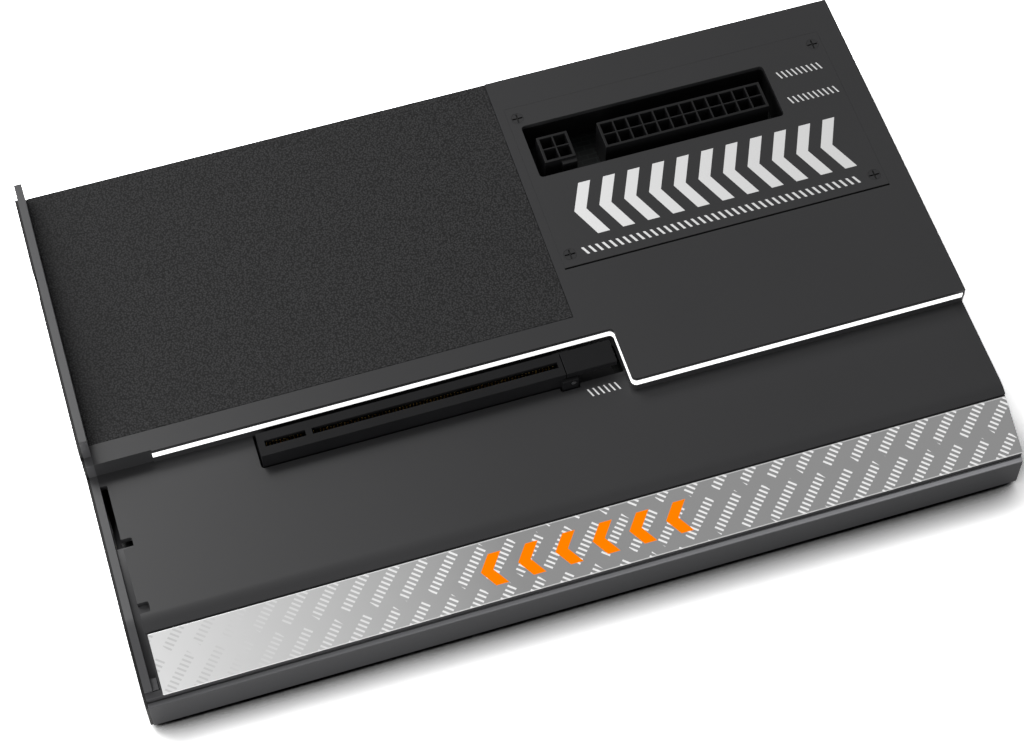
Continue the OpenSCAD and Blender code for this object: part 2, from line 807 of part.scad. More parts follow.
module light_chips() {
    chip_z = bar_low + (bar_h - chip_size[2]) / 2;
    left_count = floor((step_x - light_x0) / chip_pitch) - 1;
    right_count = floor((x_cap - step_x - step_t) / chip_pitch) - 1;
    color([1, 0.95, 0.7]) {
        for (i = [1:left_count])
            translate([light_x0 + i * chip_pitch, step_y0 + flex_at - chip_size[1], chip_z])
                cube(chip_size);
        for (i = [1:right_count])
            translate([step_x + step_t + i * chip_pitch, step_y1 + flex_at - chip_size[1], chip_z])
                cube(chip_size);
        translate([step_x + flex_at - chip_size[1], step_y1 + jog / 2, chip_z])
            cube([chip_size[1], chip_size[0], chip_size[2]]);
    }
}

module light_lead() {
    y0 = step_y0 + flex_at + flex_t;
    y1 = step_y0 + step_t + lead_run;
    z1 = bar_low + gap;
    color([0.85, 0.6, 0.3])
        along_x(lead_x, lead_x + lead_w)
            polygon([[y0, z1], [y0, z1 + lead_t], [y1, z1 + lead_t], [y1, board_top + socket_h],
                [y1 - lead_t, board_top + socket_h], [y1 - lead_t, z1]]);
}

module light_socket() {
    y1 = step_y0 + step_t + lead_run - lead_t / 2;
    color([0.9, 0.88, 0.8])
        block([lead_x - 1, y1 - socket_d / 2, board_top], [lead_x + lead_w + 1, y1 + socket_d / 2,
            board_top + socket_h]);
}

// One groove of the slot: a narrow mouth over a wider space for the contacts
module slot_groove(x0, x1) {
    mouth = 1.4;
    hollow_w = groove_w + 4 * contact_t;
    block([x0, slot_y - groove_w / 2, slot_top - groove_deep], [x1, slot_y + groove_w / 2, slot_top + over]);
    block([x0, slot_y - hollow_w / 2, slot_top - groove_deep], [x1, slot_y + hollow_w / 2, slot_top - mouth]);
}
contact_t = 0.35;

module slot_housing() {
    g0 = slot_x0 + groove_in;
    g1 = g0 + groove_short + key_w;
    color([0.12, 0.12, 0.12])
        difference() {
            union() {
                block([slot_x0, slot_front, board_top], [slot_x1, slot_y + slot_w / 2, slot_top]);
                block([ear_x0, ear_y0, board_top], [latch_end, ear_y1, board_top + cradle_t]);
                block([ear_x0, ear_y0, board_top], [slot_x1, ear_y1, ear_top]);
                block([ear_x0, ear_y0, board_top], [ear_x1, ear_y0 + ear_t, ear_top]);
                block([ear_x0, ear_y1 - ear_t, board_top], [ear_x1, ear_y1, ear_top]);
            }
            slot_groove(g0, g0 + groove_short);
            slot_groove(g1, g1 + groove_long);
            along_y(ear_y0 - over, ear_y1 + over)
                translate([latch_pivot_x, latch_pivot_z])
                    circle(r = latch_pin_r + latch_room);
        }
}

module slot_contacts() {
    g0 = slot_x0 + groove_in;
    g1 = g0 + groove_short + key_w;
    contact_w = 0.5;
    contact_h = groove_deep - groove_w;
    side = groove_w / 2 + contact_t / 2;
    n0 = floor(groove_short / contact_pitch);
    n1 = floor(groove_long / contact_pitch);
    color([0.85, 0.7, 0.3])
        for (s = [-1, 1]) {
            for (i = [0:n0 - 1])
                translate([g0 + (i + contact_w) * contact_pitch, slot_y + s * side, slot_top - groove_deep])
                    translate([-contact_w / 2, -contact_t / 2, 0])
                        cube([contact_w, contact_t, contact_h]);
            for (i = [0:n1 - 1])
                translate([g1 + (i + contact_w) * contact_pitch, slot_y + s * side, slot_top - groove_deep])
                    translate([-contact_w / 2, -contact_t / 2, 0])
                        cube([contact_w, contact_t, contact_h]);
        }
}

module slot_latch() {
    color([0.14, 0.14, 0.14])
        along_y(latch_y0, latch_y1)
            difference() {
                union() {
                    translate([latch_pivot_x, latch_pivot_z])
                        circle(r = latch_round);
                    polygon([[slot_x1 + latch_side, slot_top], [latch_pivot_x - latch_round, latch_pivot_z],
                        [latch_pivot_x + latch_round, latch_pivot_z],
                        [latch_pivot_x + 2 * latch_round, slot_top - latch_t],
                        [latch_end, slot_top - latch_t], [latch_end, slot_top]]);
                }
                translate([latch_pivot_x, latch_pivot_z])
                    circle(r = latch_pin_r + latch_room);
            }
}

module latch_pin() {
    color([0.7, 0.7, 0.7])
        along_y(ear_y0 + gap / 2, ear_y1 - gap / 2)
            translate([latch_pivot_x, latch_pivot_z])
                circle(r = latch_pin_r);
}

// Power header with n columns in two rows; its left front corner is at the origin, on the board
module header_body(n) {
    l = (n - 1) * header_pitch + cell + 2 * header_wall;
    difference() {
        cube([l, header_w, header_h]);
        for (i = [0:n - 1])
            for (j = [0, 1])
                translate([header_wall + i * header_pitch, header_wall + j * header_pitch, header_floor])
                    cube([cell, cell, header_h]);
    }
}

module header_pins(n) {
    inset = header_wall + (cell - pin_side) / 2;
    for (i = [0:n - 1])
        for (j = [0, 1])
            translate([inset + i * header_pitch, inset + j * header_pitch, header_floor])
                cube([pin_side, pin_side, header_h - header_floor - pin_below]);
}

module header_24_body() {
    color([0.1, 0.1, 0.1])
        translate([header_24_x, header_y, board_top])
            header_body(12);
}

module header_24_pins() {
    color([0.8, 0.78, 0.7])
        translate([header_24_x, header_y, board_top])
            header_pins(12);
}

module header_4_body() {
    color([0.1, 0.1, 0.1])
        translate([header_4_x, header_y, board_top]) {
            header_body(2);
            translate([header_w - tab_size[0], -tab_size[1], header_h - tab_below - tab_size[2]])
                cube(tab_size);
        }
}

module header_4_pins() {
    color([0.8, 0.78, 0.7])
        translate([header_4_x, header_y, board_top])
            header_pins(2);
}

module well_liner() {
    color([0.08, 0.08, 0.08])
        upright(board_top, deck_hi - cover_t)
            difference() {
                polygon(round_rect([well_x0 - liner_t, well_y0 - liner_t],
                    [well_x1 + liner_t, well_y1 + liner_t], well_r + liner_t));
                polygon(round_rect([well_x0, well_y0], [well_x1, well_y1], well_r));
            }
}

module cover_plate() {
    color([0.27, 0.27, 0.28])
        difference() {
            block([cover_x0, cover_y0, deck_hi - cover_t], [cover_x1, cover_y1, deck_hi]);
            upright(deck_hi - cover_t - over, deck_hi + over)
                polygon(round_rect([well_x0, well_y0], [well_x1, well_y1], well_r));
            for (x = cover_screw_xs)
                for (y = cover_screw_ys)
                    translate([x, y, deck_hi])
                        flat_hole(small_screw_r, small_head_r, small_screw_len);
        }
}

module cover_screws() {
    color([0.12, 0.12, 0.12])
        for (x = cover_screw_xs)
            for (y = cover_screw_ys)
                translate([x, y, deck_hi - screw_room])
                    flat_screw(small_screw_r, small_head_r, small_screw_len);
}

module thermal_pad() {
    x1 = storage_x1 - storage_size[0];
    color([0.55, 0.65, 0.75])
        block([x1 - thermal_size[0], storage_y - thermal_size[1] / 2, deck_hi - cover_t - thermal_size[2]],
            [x1, storage_y + thermal_size[1] / 2, deck_hi - cover_t]);
}

module bracket_rail() {
    y0 = y_rail + wall;
    flange_x1 = x_in + rail_flange_w;
    z_mid = slope_z(y0, strip_t + wall);
    color([0.2, 0.2, 0.21])
        difference() {
            union() {
                along_x(x_in, flange_x1)
                    polygon([[y0, z_mid - rail_flange_h], [y0, z_mid], [inner_bend_y, lo_in],
                        [rail_end_y, lo_in], [rail_end_y, lo_in - rail_flange_h],
                        [inner_bend_y, lo_in - rail_flange_h]]);
                along_x(x_in, channel_x - gap)
                    polygon([[y_rail + gap, slope_z(y_rail + gap, wall + strip_t)],
                        [y_rail + gap, slope_z(y_rail + gap, stop_below)],
                        [y_rail + stop_len, slope_z(y_rail + stop_len, stop_below)],
                        [y_rail + stop_len, slope_z(y_rail + stop_len, wall + strip_t) - over]]);
                for (y = leg_ys)
                    block([x_in, y - leg_w / 2, leg_screw_z - leg_w / 2],
                        [x_in + small_boss_len, y + leg_w / 2,
                            min(slope_z(y, strip_t + wall), lo_in) - rail_flange_h / 2]);
            }
            at_end_screws()
                translate([0, 0, -small_screw_len - over])
                    cylinder(r = small_screw_r + screw_room, h = small_screw_len);
        }
}

module main_board() {
    color([0.05, 0.06, 0.06])
        difference() {
            union() {
                block([board_x0, board_mid_y, board_low], [board_x1, board_y1, board_top]);
                block([board_x0, board_y0, board_low], [board_front_x1, board_mid_y + over, board_top]);
                block([board_x0, board_y1 - over, board_low],
                    [port_x0 + small_port[2], small_port_ys[0] + small_port[0] / 2, board_top]);
            }
            for (p = standoff_places)
                rod_z(p[0], p[1], board_low - over, board_top + over, big_screw_r + screw_room);
            for (s = [-1, 1])
                rod_z(chip_x + s * sink_pin_x, chip_y + s * sink_pin_x, board_low - over, board_top + over,
                    sink_pin_r + screw_room);
        }
}
sink_pin_x = sink_side / 2 - 2 * sink_pin_r;

module base_plate() {
    color([0.15, 0.15, 0.16])
        difference() {
            block([x_in, y_rail + wall + gap, foot_h], [x_cap, y_back_in - gap, base_top]);
            for (x = base_xs)
                for (y = base_ys)
                    translate([x, y, foot_h])
                        mirror([0, 0, 1])
                            flat_hole(big_screw_r, big_head_r, big_screw_len);
            for (i = [0:base_slots - 1])
                for (s = [-1, 1])
                    translate([(i - (base_slots - 1) / 2) * base_slot_pitch,
                        s * base_slot_size[0] * slot_row_share])
                        upright(foot_h - over, base_top + over)
                            polygon(round_rect(-[base_slot_size[1], base_slot_size[0]] / 2,
                                [base_slot_size[1], base_slot_size[0]] / 2,
                                base_slot_size[1] * slot_end_share));
        }
}
slot_row_share = 0.62;
slot_end_share = 0.45;

module feet() {
    foot_r = 1.5;
    color([0.06, 0.06, 0.06])
        for (sx = [-1, 1])
            for (sy = [-1, 1])
                translate([sx * (case_len / 2 - foot_in[0] - foot_size[0] / 2),
                    sy * (case_dep / 2 - foot_in[1] - foot_size[1] / 2)])
                    upright(0, foot_h)
                        polygon(round_rect(-foot_size / 2, foot_size / 2, foot_r));
}

module standoffs() {
    color([0.75, 0.7, 0.5])
        for (p = standoff_places)
            difference() {
                translate([p[0], p[1], base_top])
                    rotate([0, 0, 30])
                        cylinder(r = standoff_r, h = board_low - base_top, $fn = 6);
                rod_z(p[0], p[1], board_top - big_screw_len - over, board_low + over,
                    big_screw_r + screw_room);
            }
}

module board_screws() {
    color([0.7, 0.7, 0.7])
        for (p = standoff_places)
            difference() {
                union() {
                    rod_z(p[0], p[1], board_top, board_top + round_head_h, big_head_r);
                    rod_z(p[0], p[1], board_top - big_screw_len, board_top + round_head_h / 2, big_screw_r);
                }
                for (a = [0, 90])
                    translate([p[0], p[1], board_top + round_head_h])
                        rotate([0, 0, a])
                            cube([big_head_r * cross_l_share, big_head_r * cross_w_share, round_head_h],
                                center = true);
            }
}

module base_screws() {
    color([0.12, 0.12, 0.12])
        for (x = base_xs)
            for (y = base_ys)
                translate([x, y, foot_h + screw_room])
                    mirror([0, 0, 1])
                        flat_screw(big_screw_r, big_head_r, big_screw_len);
}

module end_screws() {
    color([0.12, 0.12, 0.12])
        at_end_screws()
            translate([0, 0, -screw_room])
                flat_screw(small_screw_r, small_head_r, small_screw_len);
}

module cap_screws() {
    color([0.12, 0.12, 0.12])
        at_cap_screws()
            translate([0, 0, -screw_room])
                flat_screw(small_screw_r, small_head_r, small_screw_len);
}

module controller_chip() {
    color([0.1, 0.1, 0.1])
        block([chip_x - chip_side / 2, chip_y - chip_side / 2, board_top],
            [chip_x + chip_side / 2, chip_y + chip_side / 2, board_top + chip_h]);
}

module heat_sink() {
    z0 = board_top + chip_h;
    fin_pitch = (sink_side - fin_t) / (fin_count - 1);
    color([0.6, 0.6, 0.62])
        difference() {
            union() {
                block([chip_x - sink_side / 2, chip_y - sink_side / 2, z0],
                    [chip_x + sink_side / 2, chip_y + sink_side / 2, z0 + sink_base]);
                for (i = [0:fin_count - 1])
                    translate([chip_x - sink_side / 2 + i * fin_pitch, chip_y - sink_side / 2, z0])
                        cube([fin_t, sink_side, sink_h]);
            }
            for (s = [-1, 1])
                rod_z(chip_x + s * sink_pin_x, chip_y + s * sink_pin_x, z0 - over, z0 + sink_base,
                    sink_pin_r + screw_room);
            for (s = [-1, 1])
                rod_z(chip_x + s * sink_pin_x, chip_y + s * sink_pin_x, z0 + sink_base, z0 + sink_h + over,
                    2 * sink_pin_r);
        }
}

module heat_sink_pins() {
    z1 = board_top + chip_h + sink_base;
    color([0.85, 0.85, 0.85])
        for (s = [-1, 1]) {
            rod_z(chip_x + s * sink_pin_x, chip_y + s * sink_pin_x, board_low - board_t, z1, sink_pin_r);
            rod_z(chip_x + s * sink_pin_x, chip_y + s * sink_pin_x, z1, z1 + sink_pin_r,
                2 * sink_pin_r - gap);
        }
}

module small_chips() {
    color([0.1, 0.1, 0.1])
        for (i = [0:3])
            translate([board_x0 + chip_side * (1 + i), chip_y + sink_side, board_top])
                cube([chip_side / 2, chip_side / 3, chip_h]);
}

module inductors() {
    notch = inductor_side / 4;
    color([0.35, 0.35, 0.36])
        for (i = [0:3])
            translate([well_x1 + inductor_side, header_y - i * inductor_pitch, board_top])
                difference() {
                    cube([inductor_side, inductor_side, inductor_h]);
                    translate([0, 0, inductor_h])
                        rotate([0, 0, 45])
                            cube([notch, notch, notch], center = true);
                }
}

module capacitors() {
    color([0.6, 0.6, 0.62])
        for (i = [0:1])
            for (j = [0:2])
                rod_z(header_4_x - capacitor_in - i * capacitor_pitch, header_y - j * capacitor_pitch,
                    board_top, board_top + capacitor_h, capacitor_r);
}

module storage_socket() {
    color([0.12, 0.12, 0.12])
        difference() {
            block([storage_x1 - storage_size[0], storage_y - storage_size[1] / 2, board_top],
                [storage_x1, storage_y + storage_size[1] / 2, board_top + storage_size[2]]);
            block([storage_x1 - storage_size[0] - over, storage_y - storage_size[1] / 2 + storage_cheek,
                board_top + post_h],
                [storage_x1 - storage_size[0] / 2, storage_y + storage_size[1] / 2 - storage_cheek,
                    board_top + post_h + storage_slot_h]);
        }
}

module storage_contacts() {
    contact_w = 0.3;
    count = 36;
    pitch = 0.5;
    color([0.85, 0.7, 0.3])
        for (i = [0:count - 1])
            translate([storage_x1 - storage_size[0] * 3 / 4,
                storage_y + (i - (count - 1) / 2) * pitch - contact_w / 2, board_top + post_h])
                cube([storage_size[0] / 4, contact_w, contact_w]);
}

module storage_post() {
    color([0.75, 0.7, 0.5])
        difference() {
            rod_z(post_x, storage_y, board_top, board_top + post_h, post_r);
            rod_z(post_x, storage_y, board_top + gap, board_top + post_h + over, small_screw_r + screw_room);
        }
}

module storage_screw() {
    color([0.7, 0.7, 0.7])
        union() {
            rod_z(post_x, storage_y, board_top + post_h, board_top + post_h + storage_cheek, post_r - gap);
            rod_z(post_x, storage_y, board_top + 2 * gap, board_top + post_h + over, small_screw_r);
        }
}

// Hollow port shell lying on the board, its mouth towards the end plate
module port_shell(y, size, r) {
    p = [y - size[0] / 2, board_top];
    q = p + [size[0], size[1]];
    difference() {
        along_x(port_x0, port_x0 + size[2])
            polygon(round_rect(p, q, r));
        along_x(port_x0 - over, port_x0 + size[2] - port_wall)
            polygon(round_rect(p + [port_wall, port_wall], q - [port_wall, port_wall], r - port_wall));
    }
}

module port_tongue(y, size, w, t, up) {
    z = board_top + up;
    block([port_x0 + size[2] * tongue_start_share, y - w / 2, z],
        [port_x0 + size[2] - port_wall, y + w / 2, z + t]);
}
tongue_start_share = 0.1;

module small_port_shells() {
    color([0.75, 0.75, 0.76])
        for (y = small_port_ys)
            port_shell(y, small_port, small_port[1] * slot_end_share);
}

module small_port_tongues() {
    tongue_w = 6.6;
    tongue_t = 0.7;
    color([0.1, 0.1, 0.1])
        for (y = small_port_ys)
            port_tongue(y, small_port, tongue_w, tongue_t, (small_port[1] - tongue_t) / 2);
}

module wide_port_shell() {
    color([0.75, 0.75, 0.76])
        port_shell(wide_port_cy, wide_port, port_wall + gap);
}

module wide_port_tongue() {
    tongue_w = 11.1;
    tongue_t = 1.8;
    color([0.1, 0.2, 0.5])
        port_tongue(wide_port_cy, wide_port, tongue_w, tongue_t, wide_port[1] - 2 * tongue_t);
}

module power_button() {
    face = x_left - button_proud;
    flange_x = x_in + gap;
    color([0.6, 0.6, 0.61])
        union() {
            rod_x(face, flange_x + flange_t / 2, button_cy, button_z, button_r);
            rod_x(flange_x, flange_x + flange_t, button_cy, button_z, flange_r);
            rod_x(flange_x, stem_end, button_cy, button_z, stem_r);
        }
}

module button_switch() {
    color([0.12, 0.12, 0.12])
        difference() {
            block([switch_x0, button_cy - switch_size[1] / 2, board_top],
                [switch_x0 + switch_size[0], button_cy + switch_size[1] / 2, board_top + switch_size[2]]);
            rod_x(switch_x0 - over, stem_end + button_travel + gap, button_cy, button_z,
                stem_r + button_room);
        }
}

top_shell();
left_end_plate();
side_sheet();
right_end_cap();
front_rail();
front_strip();
grip_pad();
light_bar();
light_strip();
light_chips();
light_lead();
light_socket();
slot_housing();
slot_contacts();
slot_latch();
latch_pin();
header_24_body();
header_24_pins();
header_4_body();
header_4_pins();
well_liner();
cover_plate();
cover_screws();
thermal_pad();
bracket_rail();
main_board();
base_plate();
feet();
standoffs();
board_screws();
base_screws();
end_screws();
cap_screws();
controller_chip();
heat_sink();
heat_sink_pins();
small_chips();
inductors();
capacitors();
storage_socket();
storage_contacts();
storage_post();
storage_screw();
small_port_shells();
small_port_tongues();
wide_port_shell();
wide_port_tongue();
power_button();
button_switch();
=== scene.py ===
import json
import math

import bpy
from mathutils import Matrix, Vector


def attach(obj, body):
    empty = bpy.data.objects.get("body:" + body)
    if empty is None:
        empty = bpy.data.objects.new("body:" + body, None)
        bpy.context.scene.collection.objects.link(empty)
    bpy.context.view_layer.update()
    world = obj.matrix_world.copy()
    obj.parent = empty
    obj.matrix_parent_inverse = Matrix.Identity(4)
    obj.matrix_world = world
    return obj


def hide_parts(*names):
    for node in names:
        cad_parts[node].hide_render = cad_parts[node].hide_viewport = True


bl_info = {
    "name": "Graphics Dock",
    "version": (1, 0, 0),
    "blender": (4, 5, 0),
    "location": "3D View > Sidebar > Dock",
    "description": "Dresses the packed dock with finished pieces, materials, lights and a camera",
    "category": "Object",
}

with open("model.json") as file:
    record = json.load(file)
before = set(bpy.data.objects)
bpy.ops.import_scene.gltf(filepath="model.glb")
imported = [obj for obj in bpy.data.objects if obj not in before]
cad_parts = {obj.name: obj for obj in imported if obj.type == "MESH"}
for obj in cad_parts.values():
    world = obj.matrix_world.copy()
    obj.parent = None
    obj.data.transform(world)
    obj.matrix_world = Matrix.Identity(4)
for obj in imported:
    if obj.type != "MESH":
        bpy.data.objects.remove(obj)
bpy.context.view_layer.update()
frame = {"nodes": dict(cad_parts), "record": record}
BODY_OF = {node: body for body, nodes in frame["record"]["behaviour"]["bodies"].items() for node in nodes}

# How a CAD copy is cleaned and rounded: corners this close merge, faces this flat join, edges sharper than
# the next angle are rounded, and the shading is smooth under the last
MERGE_WITHIN = 0.000002
FLAT_WITHIN = math.radians(0.6)
ROUND_OVER = math.radians(30.0)
SMOOTH_UNDER = math.radians(42.0)
# Steps across a rounded edge, and how far the larger faces lead the shading there, where 50 is neutral
ROUND_STEPS = 2
FACE_WEIGHT = 90

# Noise scale of the metals' fine grain and depth of the finest bumps
GRAIN = 2600.0
FINE = 0.00001
# The middle of a noise, over which a surface's colour varies
MIDDLE = (0.3, 0.7)
# Roughness and specular level of the case's metal. It gets rougher as its normal's Y falls through the next
# range, as on the bend, but not past the value for upright walls
CASE_GLOSS = (0.4, 0.21)
LEANING = (-0.02, -0.24)
UPRIGHT = -0.6
ROUGHER = 0.25

# Lowest and highest height of the rail's bead and how far back it reaches
BEAD_PLACE = (0.0131, 0.0137, -0.0792)
# Where the painted highlight along the bead grows along X, and how much brighter than the rail it gets
HIGHLIGHT_FADE = (-0.12, 0.12)
HIGHLIGHT_SHARE = 4.2
# Strength of the light bar's own light
GLOW = 1.15
# Hatched marks: area (x0, x1, y0, y1), pitch, inked share, lean and whether it is folded to chevrons
COVER_MARKS = (
    ((0.0285, 0.1125, 0.0185, 0.0373), 0.0077, 0.48, -0.45, True),
    ((0.027, 0.1125, 0.0125, 0.0151), 0.0021, 0.36, 0.5),
    ((0.103, 0.1164, 0.0557, 0.0583), 0.0016, 0.3, 0.4),
    ((0.103, 0.118, 0.0458, 0.0484), 0.0016, 0.3, 0.4))
DECK_MARKS = (((0.0148, 0.0236, -0.0301, -0.0275), 0.0016, 0.3, 0.4),)
# Heights over which the deck's and the cover's marks are printed, and under which screw recesses are painted
# black shade
DECK_LEVEL = 0.024
COVER_LEVEL = 0.0305
RECESS_SHADE_LEVEL = 0.0308
# The strip's chevrons as a hatched mark, the turn of its rows, and the span outside which its edges get a
# painted highlight
STRIP_CHEVRONS = ((-0.0305, 0.0335, -0.0757, -0.0676), 0.0107, 0.34, -0.8, True)
ROWS_TURN = math.radians(-43.4)
STRIP_EDGES = (-0.07922, -0.0645)
# Where painted shade darkens the strip from pale to dark along X, where its print goes from faint to full,
# the strokes in a group, the groups' shift from row to row, and the inked shares of a stroke, a row and a
# group
STRIP_SHADE_FADE = (-0.121, -0.02)
PRINT_FADE = (-0.11, -0.04)
GROUP_STROKES = 12
GROUP_SHIFT = 0.37
STROKE_SHARE, ROW_SHARE, GROUP_SHARE = 0.42, 0.42, 0.8

# Lamps: place, target, width and depth
KEY_LAMP = ((-0.45, 0.6, 0.95), (-0.08, 0.0, 0.02), 0.7, 0.45)
SHEEN_LAMP = ((-0.27, 0.43, 0.89), (-0.12, -0.04, 0.02), 0.2, 0.2)
FILL_LAMP = ((-0.36, -0.4, 0.17), (-0.08, -0.03, 0.02), 0.25, 0.2)
# The floor: its size, where along X the painted shadow along the case's foot fades in from the left, where
# along Y the back gain fades in from the front, and the openness over which the painted shadow goes from
# black to none
FLOOR_SIZE = 8.0
SHADOW_FADE = (-0.129, -0.122)
BACK_FADE = (-0.075, -0.035)
SHADOW_RANGE = (0.48, 0.93)
# Width of the camera's sensor in millimetres, and the nearest distance that it sees
SENSOR_WIDTH = 36.0
NEAR_CLIP = 0.01


class DockSizes(bpy.types.PropertyGroup):
    edge_round: bpy.props.FloatProperty(
        name="Edge rounding", description="Rounding along the case's edges", default=0.0003, min=0.0,
        subtype="DISTANCE", unit="LENGTH")
    plate_round: bpy.props.FloatProperty(
        name="Plate rounding", description="Rounding along the end plates' edges", default=0.00035, min=0.0,
        subtype="DISTANCE", unit="LENGTH")
    moulded_round: bpy.props.FloatProperty(
        name="Moulded rounding", description="Rounding along the edges of slot and headers", default=0.00015,
        min=0.0, subtype="DISTANCE", unit="LENGTH")
    print_pitch: bpy.props.FloatProperty(
        name="Print pitch", description="Distance between the printed rows on the strip", default=0.0059,
        min=0.001, subtype="DISTANCE", unit="LENGTH")
    stroke_pitch: bpy.props.FloatProperty(
        name="Stroke pitch", description="Distance between the strokes in a printed row", default=0.00125,
        min=0.0003, subtype="DISTANCE", unit="LENGTH")


class DockColours(bpy.types.PropertyGroup):
    metal: bpy.props.FloatVectorProperty(
        name="Case metal", description="Dark satin metal of the case", default=(0.0315, 0.0315, 0.0329),
        min=0.0, max=1.0, size=3, subtype="COLOR")
    plate: bpy.props.FloatVectorProperty(
        name="Plate metal", description="Metal of the end plate and the bracket rail",
        default=(0.068, 0.068, 0.071), min=0.0, max=1.0, size=3, subtype="COLOR")
    pad: bpy.props.FloatVectorProperty(
        name="Pad", description="Grained pad on the upper deck", default=(0.036, 0.036, 0.037),
        min=0.0, max=1.0, size=3, subtype="COLOR")
    plastic: bpy.props.FloatVectorProperty(
        name="Black plastic", description="Moulded slot and headers", default=(0.012, 0.012, 0.013),
        min=0.0, max=1.0, size=3, subtype="COLOR")
    # The strip's lit colour, at its left end and in the painted highlight on its edges
    strip_lit: bpy.props.FloatVectorProperty(
        name="Strip, pale end", description="Left end of the front strip", default=(0.62, 0.62, 0.62),
        min=0.0, max=1.0, size=3, subtype="COLOR")
    # The strip's colour at its right end, darkened as painted shade
    strip_shaded: bpy.props.FloatVectorProperty(
        name="Strip, dark end", description="Right end of the front strip", default=(0.26, 0.26, 0.26),
        min=0.0, max=1.0, size=3, subtype="COLOR")
    strip_print: bpy.props.FloatVectorProperty(
        name="Strip print", description="Printed bars on the front strip", default=(0.79, 0.79, 0.79),
        min=0.0, max=1.0, size=3, subtype="COLOR")
    deck_print: bpy.props.FloatVectorProperty(
        name="Deck print", description="Pale hatching on the cover and the lower deck",
        default=(0.56, 0.56, 0.56), min=0.0, max=1.0, size=3, subtype="COLOR")
    sheet: bpy.props.FloatVectorProperty(
        name="Side sheet", description="Black sheet on the left end", default=(0.006, 0.006, 0.006),
        min=0.0, max=1.0, size=3, subtype="COLOR")
    accent: bpy.props.FloatVectorProperty(
        name="Accent", description="Orange bars on the front strip", default=(1.0, 0.216, 0.0),
        min=0.0, max=1.0, size=3, subtype="COLOR")
    light: bpy.props.FloatVectorProperty(
        name="Light", description="Colour of the light bar", default=(1.0, 1.0, 1.0),
        min=0.0, max=1.0, size=3, subtype="COLOR")


class DockStage(bpy.types.PropertyGroup):
    camera_place: bpy.props.FloatVectorProperty(
        name="Camera place", description="Where the camera stands", default=(-0.10953, -0.36708, 0.62809),
        size=3, subtype="XYZ", unit="LENGTH")
    camera_turn: bpy.props.FloatVectorProperty(
        name="Camera turn", description="How the camera is turned",
        default=(0.54522687, 0.00581897, -0.3008543), size=3, subtype="EULER", unit="ROTATION")
    camera_lens: bpy.props.FloatProperty(
        name="Lens", description="Focal length of the camera in millimetres", default=87.318, min=10.0)
    key_power: bpy.props.FloatProperty(
        name="Key lamp", description="Power of the large lamp behind on the left", default=6.0, min=0.0,
        unit="POWER")
    fill_power: bpy.props.FloatProperty(
        name="Fill lamp", description="Power of the lamp at the front", default=1.3, min=0.0, unit="POWER")
    sheen_power: bpy.props.FloatProperty(
        name="Sheen lamp", description="Power of the lamp that only shows as gloss on the left end",
        default=2.3, min=0.0, unit="POWER")
    sky_level: bpy.props.FloatProperty(
        name="Sky level", description="Strength of the even light from all round", default=0.3, min=0.0)
    floor_gain: bpy.props.FloatProperty(
        name="Floor gain", description="How much brighter the floor looks than it lights", default=3.4,
        min=1.0)
    back_gain: bpy.props.FloatProperty(
        name="Back gain", description="How much brighter still the floor looks beside and behind the case",
        default=1.7, min=1.0)
    # The dark seam is a shadow painted on the floor along the case's foot, on top of the real shadow
    shadow_reach: bpy.props.FloatProperty(
        name="Shadow reach", description="How far the dark seam along the case's foot reaches on the floor",
        default=0.013, min=0.001, subtype="DISTANCE", unit="LENGTH")
    floor_colour: bpy.props.FloatVectorProperty(
        name="Floor", description="Colour of the floor", default=(0.8, 0.8, 0.8), min=0.0, max=1.0, size=3,
        subtype="COLOR")


def select_only(obj):
    """Makes obj the one selected and active object, in object mode."""
    if bpy.context.mode != "OBJECT":
        bpy.ops.object.mode_set(mode="OBJECT")
    bpy.ops.object.select_all(action="DESELECT")
    obj.select_set(True)
    bpy.context.view_layer.objects.active = obj


def apply_all(obj):
    """Applies every modifier of obj in order."""
    select_only(obj)
    for name in [modifier.name for modifier in obj.modifiers]:
        bpy.ops.object.modifier_apply(modifier=name)


def soften(obj, width):
    """Rounds the sharp edges of obj and shades it smooth between them."""
    bevel = obj.modifiers.new("Rounding", "BEVEL")
    bevel.width = width
    bevel.segments = ROUND_STEPS
    bevel.limit_method = "ANGLE"
    bevel.angle_limit = ROUND_OVER
    bevel.use_clamp_overlap = True
    apply_all(obj)
    select_only(obj)
    bpy.ops.object.shade_smooth_by_angle(angle=SMOOTH_UNDER)
    weighted = obj.modifiers.new("Even shading", "WEIGHTED_NORMAL")
    weighted.keep_sharp = True
    weighted.weight = FACE_WEIGHT
    apply_all(obj)


def traced(node, name, plain):
    """A new object with a merged copy of a CAD node's mesh, free of needless edges where it is plain."""
    mesh = frame["nodes"][node].data.copy()
    mesh.name = name
    mesh.materials.clear()
    obj = bpy.data.objects.new(name, mesh)
    bpy.context.scene.collection.objects.link(obj)
    select_only(obj)
    bpy.ops.object.mode_set(mode="EDIT")
    bpy.ops.mesh.select_all(action="SELECT")
    bpy.ops.mesh.remove_doubles(threshold=MERGE_WITHIN)
    if plain:
        bpy.ops.mesh.dissolve_limited(angle_limit=FLAT_WITHIN)
    bpy.ops.mesh.select_all(action="DESELECT")
    bpy.ops.object.mode_set(mode="OBJECT")
    return obj


def rework(node, name, width, material, plain=True):
    """Puts a rounded and finished copy in the place of a CAD node, on the node's body."""
    piece = traced(node, name, plain)
    soften(piece, width)
    piece.data.materials.append(material)
    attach(piece, BODY_OF[node])
    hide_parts(node)


def dress(node, material):
    """Gives a CAD node that keeps its own shape a finished material."""
    obj = frame["nodes"][node]
    for place in obj.material_slots:
        place.material = material
    if not obj.material_slots:
        obj.data.materials.append(material)


